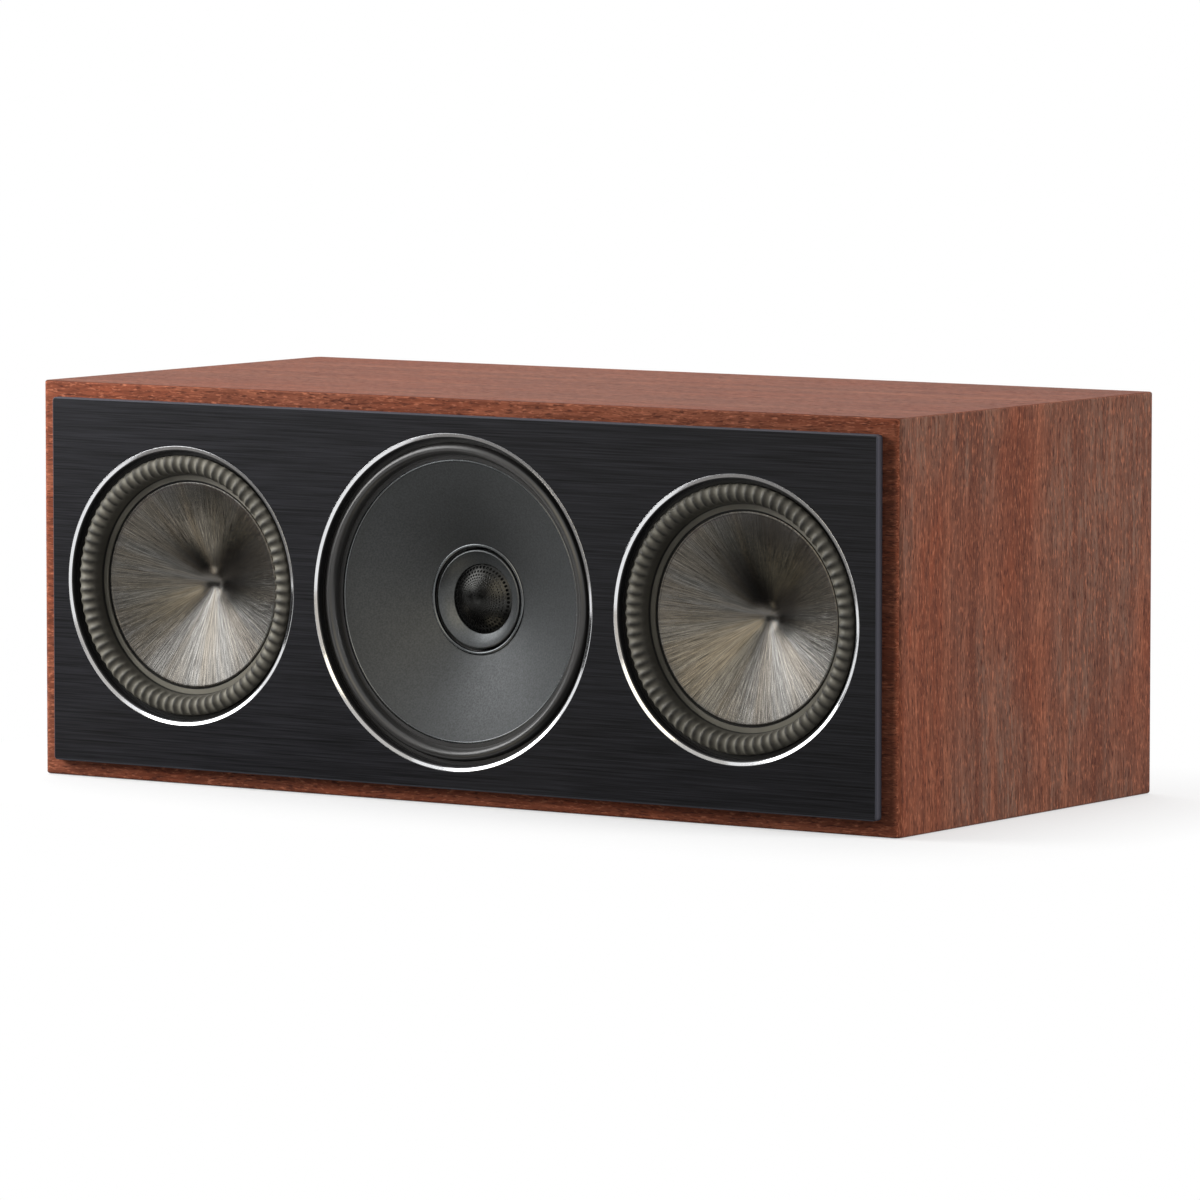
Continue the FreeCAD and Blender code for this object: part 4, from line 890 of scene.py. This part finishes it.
class SPEAKER_OT_tweeter(bpy.types.Operator):
    """Makes the tweeter's flare and its perforated dome"""

    bl_idname = "speaker.tweeter"
    bl_label = "Tweeter"

    # How far the rounded edge's middle point stands in from its corner, as a share of the rounding
    edge_nip = 0.2875

    def execute(self, context):
        sizes = context.scene.speaker_drivers
        self.housing("tweeter_housing", sizes)
        self.grille("tweeter_grille", sizes)
        return {"FINISHED"}

    def housing(self, node, sizes):
        """Housing turned from a flare, a straight slope hollowed by a share of an ellipse, to a bore."""
        outer = half_width(node)
        front, back = depths(node)
        mouth = half_width("tweeter_grille") + FIT
        base = depths("tweeter_grille")[1]
        ledge = mouth - sizes.ledge
        bore = half_width("tweeter_yoke") + FIT
        clamp = depths("tweeter_surround")[1] - sizes.clamp
        round_edge = sizes.flare_edge
        nip = self.edge_nip * round_edge
        curve = quarter((mouth, base - sizes.flare_drop), (outer - round_edge, front), steps=14)[::-1]
        straight = np.linspace(curve[0], curve[-1], len(curve))
        slope = straight - (curve - straight) * sizes.flare_bow
        rim = [(outer, back), (outer, front + round_edge), (outer - nip, front + nip)]
        outline = np.concatenate([rim, slope, [(mouth, base), (ledge, base), (ledge, clamp), (bore, clamp),
                                               (bore, back)]])
        grid = outline_turned(outline, middle(node), sizes.columns)
        skin = mid_coat_finish("tweeter_flare_satin", 1.25, 0.4)
        piece("tweeter_flare", *shell(grid), [skin], CABINET, node, "black_plastic", crease=30.0)

    def grille(self, node, sizes):
        """Perforated cap: staggered cells with round holes, in rings that shrink by a constant ratio."""
        radius = half_width(node)
        top, base = depths(node)
        rise = base - top
        sphere = (radius**2 + rise**2) / (2 * rise)
        centre = middle(node)

        def cap(rho, angle, wall):
            level = base - rise + sphere - np.sqrt(np.maximum(sphere**2 - rho**2, 0)) + wall
            return np.stack([centre.x + rho * np.cos(angle), FRONT + np.minimum(level, base),
                             centre.z + rho * np.sin(angle)], axis=-1)

        def rings(radii, walls):
            return np.array([cap(np.full(len(spokes), rho), spokes, wall) for rho, wall in zip(radii, walls)])

        corners = 16
        holes = sizes.grille_holes
        rows = sizes.grille_rows
        thick = sizes.grille_wall
        ratio = math.exp(-TAU / holes)
        spot = round_angles(corners) + TAU / 8
        circle = np.stack([np.cos(spot), np.sin(spot)], axis=1)
        square = circle / np.abs(circle).max(axis=1, keepdims=True)
        hole = circle * sizes.hole_share
        cell = np.stack([square / 2, hole, hole, square / 2]) + 0.5
        wall = np.array([0, 0, 1, 1]) * thick
        row = np.arange(rows)[:, None, None, None]
        column = np.arange(holes)[None, :, None, None]
        plain = radius - sizes.grille_rim
        angle = (column + cell[..., 0] + 0.5 * (row % 2)) * TAU / holes
        rho = np.broadcast_to(plain * ratio ** (row + cell[..., 1]), angle.shape)
        points = cap(rho, angle, wall[:, None]).reshape(-1, 3)
        starts = np.arange(rows * holes)[:, None, None] * len(wall) * corners
        faces = (quads(len(wall), corners, False, True)[None] + starts).reshape(-1, 4)
        spokes = round_angles(4 * holes)
        inner = plain * ratio**rows
        rim = rings((plain, radius, radius, plain), (0, 0, thick, thick))
        caps = [rings((inner, inner / 2, 0.0), (level, level, level)) for level in (0, thick)]
        mesh = joined((points, faces), shell(rim, False), shell(caps[0], False), shell(caps[1], False))
        skin = metal_finish("grille_dark_metal", (0.22, 0.22, 0.215), 0.24)
        piece("tweeter_perforated_dome", *mesh, [skin], CABINET, node, "grille_metal", crease=40.0)


class SPEAKER_OT_terminals(bpy.types.Operator):
    """Finishes the terminal cup, studs and washers, and makes the knobs and screws"""

    bl_idname = "speaker.terminals"
    bl_label = "Terminals"

    # Points from one flute to the next, and the flutes' sharpness
    flute_points = 24
    flute_power = 3
    # Points round and across a screw's head, and the widths of the slopes at its cross's sides and ends
    screw_columns = 64
    head_rows = 22
    cross_side = 0.0002
    cross_end = 0.0009

    def execute(self, context):
        sizes = context.scene.speaker_drivers
        look = context.scene.speaker_finish
        dress(moulded_finish("terminal_cup_black", look.moulding, 0.5, 900.0, 0.00008), "terminal_cup")
        dress(wound_finish("stud_gold_thread", look.gold, "Y", 314.0), "post_studs")
        dress(metal_finish("terminal_gold", look.gold, 0.22), "red_post_washer", "black_post_washer")
        for side, display in (("red", look.red), ("black", look.black)):
            self.knob(side, moulded_finish(side + "_knob_plastic", display, 0.25), sizes)
        self.screws(metal_finish("screw_black_zinc", (0.16, 0.16, 0.165), 0.35), sizes)
        return {"FINISHED"}

    def knob(self, side, skin, sizes):
        """Turned nut with rounded ends: its outside is sunk by flutes, each a power of a cosine."""
        node = side + "_post_knob"
        outer = half_width(node)
        front, back = depths(node)
        bore = sizes.knob_bore
        corners = [(bore, front), (bore, back), (outer, back), (outer, front)]
        outline = eased(corners, sizes.knob_round, steps=8)
        columns = self.flute_points * sizes.knob_flutes
        angle = round_angles(columns)
        flute = ((1 + np.cos(sizes.knob_flutes * angle)) / 2) ** self.flute_power
        outside = ramp(outline[:, :1], bore, outer) ** self.flute_power
        radius = outline[:, :1] - sizes.flute_depth * outside * flute
        grid = turned(radius, outline[:, 1:], middle(node), columns)
        piece(side + "_fluted_knob", *shell(grid), [skin], side + "_knob", node, side + "_knob", crease=50.0)

    def screws(self, skin, sizes):
        """Countersunk screws: the head is sunk by a cross, where one of two crossed distances is small."""
        columns = self.screw_columns
        angle = round_angles(columns)
        head = np.linspace(0, sizes.screw_head, self.head_rows)[:, None]
        across = np.abs(head * np.cos(angle))
        upward = np.abs(head * np.sin(angle))
        half = sizes.cross_width / 2
        sides = ramp(np.minimum(across, upward), half, half - self.cross_side)
        ends = ramp(np.maximum(across, upward), sizes.cross_reach, sizes.cross_reach - self.cross_end)
        point_start = sizes.screw_length - sizes.screw_point
        tail = np.array([(sizes.screw_shank, sizes.screw_taper), (sizes.screw_shank, point_start),
                         (0, sizes.screw_length)])
        tail = np.broadcast_to(tail[:, None], (len(tail), columns, 2))
        radius = np.concatenate([np.broadcast_to(head, across.shape), tail[:, :, 0]])
        depth = np.concatenate([sizes.cross_depth * sides * ends, tail[:, :, 1]])
        shells = []
        for x, z, seat, inwards in self.screw_places(sizes):
            grid = turned(radius, seat - FRONT + inwards * depth, (x, seat, z), columns)
            shells.append(shell(grid, False))
        piece("cross_head_screws", *joined(*shells), [skin], CABINET, "wood_screws", "screw_steel",
              crease=30.0)

    def screw_places(self, sizes):
        """Places of the screws: a circle of them round each driver, and one at each corner of the cup."""
        front, back = (corner.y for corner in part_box("wood_screws"))
        places = []
        for driver in DRIVERS:
            centre = middle(driver + "_cone")
            circle = (half_width(driver + "_basket") + half_width(driver + "_surround")) / 2
            places += [(centre.x + circle * math.cos(angle), centre.z + circle * math.sin(angle), front, 1)
                       for angle in (np.arange(sizes.screw_count) + 0.5) * TAU / sizes.screw_count]
        low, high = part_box("terminal_cup")
        for x in (low.x + sizes.cup_inset, high.x - sizes.cup_inset):
            places += [(x, z, back, -1) for z in (low.z + sizes.cup_inset, high.z - sizes.cup_inset)]
        return places


class SPEAKER_OT_inner_works(bpy.types.Operator):
    """Finishes what the cabinet hides: motors, chambers, crossover and leads"""

    bl_idname = "speaker.inner_works"
    bl_label = "Inner works"

    def execute(self, context):
        look = context.scene.speaker_finish
        casting = moulded_finish("basket_black_coat", look.moulding, 0.5, 700.0, 0.0001)
        zinc = metal_finish("motor_zinc", (0.66, 0.66, 0.67), 0.35)
        ferrite = board_finish("magnet_ferrite", (0.2, 0.2, 0.21), (0.27, 0.27, 0.28), 900.0)
        copper = wound_finish("coil_copper", (0.76, 0.42, 0.24))
        cloth = cloth_finish("spider_cloth", (0.78, 0.66, 0.42), 900.0)
        for driver in DRIVERS:
            dress(casting, driver + "_basket")
            dress(copper, driver + "_voice_coil")
            dress(cloth, driver + "_spider")
            dress(ferrite, driver + "_magnet")
            dress(zinc, driver + "_top_plate", driver + "_yoke")
        # The midrange coil, seen in the gap round the tweeter, is painted near-black: painted shade for that
        # gap
        dress(cloth_finish("coil_gap_painted_shade", (0.09, 0.085, 0.08), 1600.0), "midrange_voice_coil")
        dress(metal_finish("tweeter_dome_satin", (0.5, 0.5, 0.5), 0.4), "tweeter_dome")
        dress(rubber_finish("tweeter_surround_rubber", look.mid_rubber), "tweeter_surround")
        dress(copper, "tweeter_voice_coil")
        dress(zinc, "tweeter_pole_cap", "tweeter_magnet", "tweeter_yoke", "post_nuts")
        dress(board_finish("chamber_fibreboard", (0.62, 0.5, 0.37), (0.7, 0.6, 0.46), 700.0),
              "left_partition", "right_partition")
        dress(wadding_finish(), "damping_wadding")
        dress(board_finish("board_laminate", (0.13, 0.36, 0.22), (0.17, 0.42, 0.27), 1200.0),
              "crossover_board")
        dress(wound_finish("inductor_copper", (0.78, 0.44, 0.25), "Z"), "crossover_inductors")
        dress(moulded_finish("capacitor_wrap", (0.72, 0.32, 0.18), 0.3), "crossover_capacitors")
        dress(board_finish("resistor_ceramic", (0.86, 0.85, 0.8), (0.78, 0.77, 0.72), 1500.0),
              "crossover_resistors")
        dress(cloth_finish("lead_sleeve", (0.16, 0.16, 0.17), 1400.0), "internal_leads")
        dress(moulded_finish("small_black_plastic", look.moulding, 0.5), "board_spacers", "driver_terminals")
        return {"FINISHED"}


class SPEAKER_OT_studio(bpy.types.Operator):
    """Sets the floor, the soft lights and the camera"""

    bl_idname = "speaker.studio"
    bl_label = "Studio"

    # The floor's half width, its gap under the speaker, the shadow's reach and least glow, and how light the
    # floor is to rays that light
    floor_reach = 12.0
    floor_gap = 0.0004
    shadow_reach = 0.12
    shadow_glow = 0.55
    bounce = 0.5
    # How far cards lie above the floor's level and above each other, and the backdrop's light on the speaker
    card_gap = 0.0006
    card_step = 0.0004
    backdrop_light = 0.1

    def execute(self, context):
        self.floor(context.scene.speaker_finish.paper)
        self.lights()
        self.world()
        self.camera(context.scene.speaker_view)
        context.scene.view_settings.view_transform = "Standard"
        return {"FINISHED"}

    def sheet(self, name, points, faces, material):
        """Stage mesh from points and faces."""
        mesh = bpy.data.meshes.new(name)
        mesh.from_pydata(points, [], faces)
        mesh.materials.append(material)
        made = bpy.data.objects.new(name, mesh)
        bpy.context.scene.collection.objects.link(made)
        return made

    def floor(self, paper):
        """White floor: bright to the camera and in reflections, but it keeps the object's shadow."""
        lines = 9
        across = np.linspace(-self.floor_reach, self.floor_reach, lines)
        x, y = np.meshgrid(across, across, indexing="ij")
        grid = np.stack([x, y, np.full_like(x, CAD_BOX[0][2] - self.floor_gap)], axis=2)
        f = Finish("floor_paper", Roughness=0.9, Specular_IOR_Level=0.0)
        fibres = f.noise(f.place(), 400.0, 2.0)
        camera_ray = f.node("LightPath", {})["Is Camera Ray"]
        plain = linear(tinted(paper, self.bounce))
        f.set(Base_Color=f.mix(camera_ray, plain, f.tones(fibres, paper, 0.97, 1.0)))
        past = f.past((*CAD_BOX[0][:2], -1.0), (*CAD_BOX[1][:2], 1.0))
        away = f.vector("LENGTH", f.vector("MAXIMUM", past), output=1)
        lit = f.remap(away, 0.0, self.shadow_reach, self.shadow_glow, 1.0)
        glow = f.glow(linear(paper))
        both = f.node("MixShader", {0: f.times(f.seen(), lit), 1: f.shader.outputs[0], 2: glow})[0]
        faces = quads(lines, lines, False, False)
        self.sheet("floor", grid.reshape(-1, 3).tolist(), faces.tolist(), f.surface(both))

    def light(self, name, place, aim, size, power, mirrored=True):
        """Soft box at a place, turned to face a point; a fill isn't seen in reflections."""
        lamp = bpy.data.lights.new(name, "AREA")
        lamp.shape = "RECTANGLE"
        lamp.size, lamp.size_y = size
        lamp.energy = power
        made = bpy.data.objects.new(name, lamp)
        made.location = place
        made.rotation_mode = "QUATERNION"
        made.rotation_quaternion = (Vector(place) - Vector(aim)).to_track_quat("Z", "Y")
        made.visible_glossy = mirrored
        bpy.context.scene.collection.objects.link(made)

    def reflected(self, name, corners, level):
        """Card that only reflections see."""
        f = Finish(name)
        made = self.sheet(name, corners, [(0, 1, 2, 3)], f.surface(f.glow((*level, 1))))
        made.visible_camera = False
        made.visible_diffuse = False
        made.visible_shadow = False

    def card(self, name, azimuth, low, high, width, distance, level):
        """Card that stands upright in a direction from the speaker."""
        angle = math.radians(azimuth)
        way = Vector((math.sin(angle), -math.cos(angle), 0)) * distance
        across = Vector((math.cos(angle), math.sin(angle), 0)) * width / 2
        left = way - across
        right = way + across
        self.reflected(name, [(left.x, left.y, low), (right.x, right.y, low), (right.x, right.y, high),
                              (left.x, left.y, high)], level)

    def floor_card(self, name, x, y, layer, level):
        """Card that lies on the floor in front of the speaker."""
        z = CAD_BOX[0][2] + self.card_gap + layer * self.card_step
        self.reflected(name, [(x[0], y[0], z), (x[1], y[0], z), (x[1], y[1], z), (x[0], y[1], z)], level)

    def lights(self):
        """A large soft box beside the speaker, a weak top light and two fills, and the cards."""
        # Place, aim, size and power of each lamp
        self.light("key_softbox", (-0.62, -0.5, 0.45), (0.1, -0.25, 0.12), (0.58, 0.5), 3.5)
        self.light("top_softbox", (-0.25, 0.5, 1.3), (0.0, 0.05, 0.1), (1.2, 0.8), 10.5)
        self.light("left_fill", (-1.5, -0.75, 0.95), (0.0, -0.1, 0.1), (0.8, 0.8), 23.0, mirrored=False)
        self.light("right_fill", (2.3, 0.35, 1.0), (0.0, 0.0, 0.1), (1.2, 1.2), 45.0)
        # Direction, lower and upper edge, width, distance and light of each upright card
        self.card("dark_card_left", -80.0, -0.1, 0.14, 0.7, 1.2, (0.03, 0.03, 0.03))
        self.card("dark_card_front", -36.0, -0.1, 0.3, 0.9, 1.1, (0.02, 0.02, 0.02))
        self.card("grey_card_front", -12.0, 0.2, 1.2, 0.6, 1.25, (0.6, 0.58, 0.55))
        self.card("warm_card_front", 10.3, 0.22, 0.8, 0.63, 1.07, (2.2, 2.0, 1.6))
        self.card("grey_card_right", 14.0, -0.1, 0.22, 0.9, 1.15, (0.62, 0.58, 0.53))
        # Reach in X and Y, layer and light of each card on the floor
        self.floor_card("grey_card_floor", (-1.4, 0.9), (-0.34, -0.25), 0, (0.25, 0.24, 0.23))
        self.floor_card("dark_card_floor", (-1.4, 0.9), (-0.25, FRONT - 0.02), 0, (0.03, 0.03, 0.03))
        self.floor_card("warm_card_left", (-0.325, -0.27), (-0.26, -0.18), 1, (2.6, 2.4, 2.1))
        self.floor_card("warm_card_right", (-0.04, 0.03), (-0.23, -0.17), 1, (1.0, 0.9, 0.7))

    def world(self):
        """White backdrop to the camera and in reflections that lights the speaker only weakly."""
        world = bpy.data.worlds.new("studio")
        world.use_nodes = True
        bpy.context.scene.world = world
        w = Nodes(world.node_tree)
        background = w.tree.nodes["Background"].inputs
        w.feed(background["Color"], (1, 1, 1, 1))
        w.feed(background["Strength"], w.remap(w.seen(), 0.0, 1.0, self.backdrop_light, 1.0))

    def camera(self, view):
        """Camera on a line from the point it aims at, by azimuth, elevation and distance."""
        data = bpy.data.cameras.new("product_camera")
        data.sensor_width = 36.0
        data.lens = view.lens
        data.clip_end = 100.0
        made = bpy.data.objects.new("product_camera", data)
        flat = math.cos(view.elevation)
        back = Vector((math.sin(view.azimuth) * flat, -math.cos(view.azimuth) * flat,
                       math.sin(view.elevation)))
        made.location = Vector(view.aim) + back * view.distance
        made.rotation_mode = "QUATERNION"
        made.rotation_quaternion = back.to_track_quat("Z", "Y") @ Quaternion((0, 0, 1), view.roll)
        bpy.context.scene.collection.objects.link(made)
        bpy.context.scene.camera = made


GROUPS = (SPEAKER_OT_cabinet, SPEAKER_OT_front_plate, SPEAKER_OT_woofers, SPEAKER_OT_midrange,
          SPEAKER_OT_tweeter, SPEAKER_OT_terminals, SPEAKER_OT_inner_works, SPEAKER_OT_studio)
STORED = (("speaker_view", SPEAKER_PG_view), ("speaker_drivers", SPEAKER_PG_drivers),
          ("speaker_finish", SPEAKER_PG_finish))


class SPEAKER_PT_panel(bpy.types.Panel):
    """Lists the groups of pieces and their settings"""

    bl_idname = "SPEAKER_PT_panel"
    bl_label = "Speaker"
    bl_space_type = "VIEW_3D"
    bl_region_type = "UI"
    bl_category = "Speaker"

    def draw(self, context):
        for group in GROUPS:
            self.layout.operator(group.bl_idname)
        for name, kind in STORED:
            box = self.layout.box()
            box.label(text=kind.__doc__)
            for label in kind.__annotations__:
                box.prop(getattr(context.scene, name), label)


CLASSES = tuple(kind for _, kind in STORED) + GROUPS + (SPEAKER_PT_panel,)


def register():
    for kind in CLASSES:
        bpy.utils.register_class(kind)
    for name, kind in STORED:
        setattr(bpy.types.Scene, name, bpy.props.PointerProperty(type=kind))


def unregister():
    for name, _ in STORED:
        delattr(bpy.types.Scene, name)
    for kind in reversed(CLASSES):
        bpy.utils.unregister_class(kind)


def main():
    register()
    bpy.ops.speaker.cabinet()
    bpy.ops.speaker.front_plate()
    bpy.ops.speaker.woofers()
    bpy.ops.speaker.midrange()
    bpy.ops.speaker.tweeter()
    bpy.ops.speaker.terminals()
    bpy.ops.speaker.inner_works()
    bpy.ops.speaker.studio()


if __name__ == "__main__":
    main()
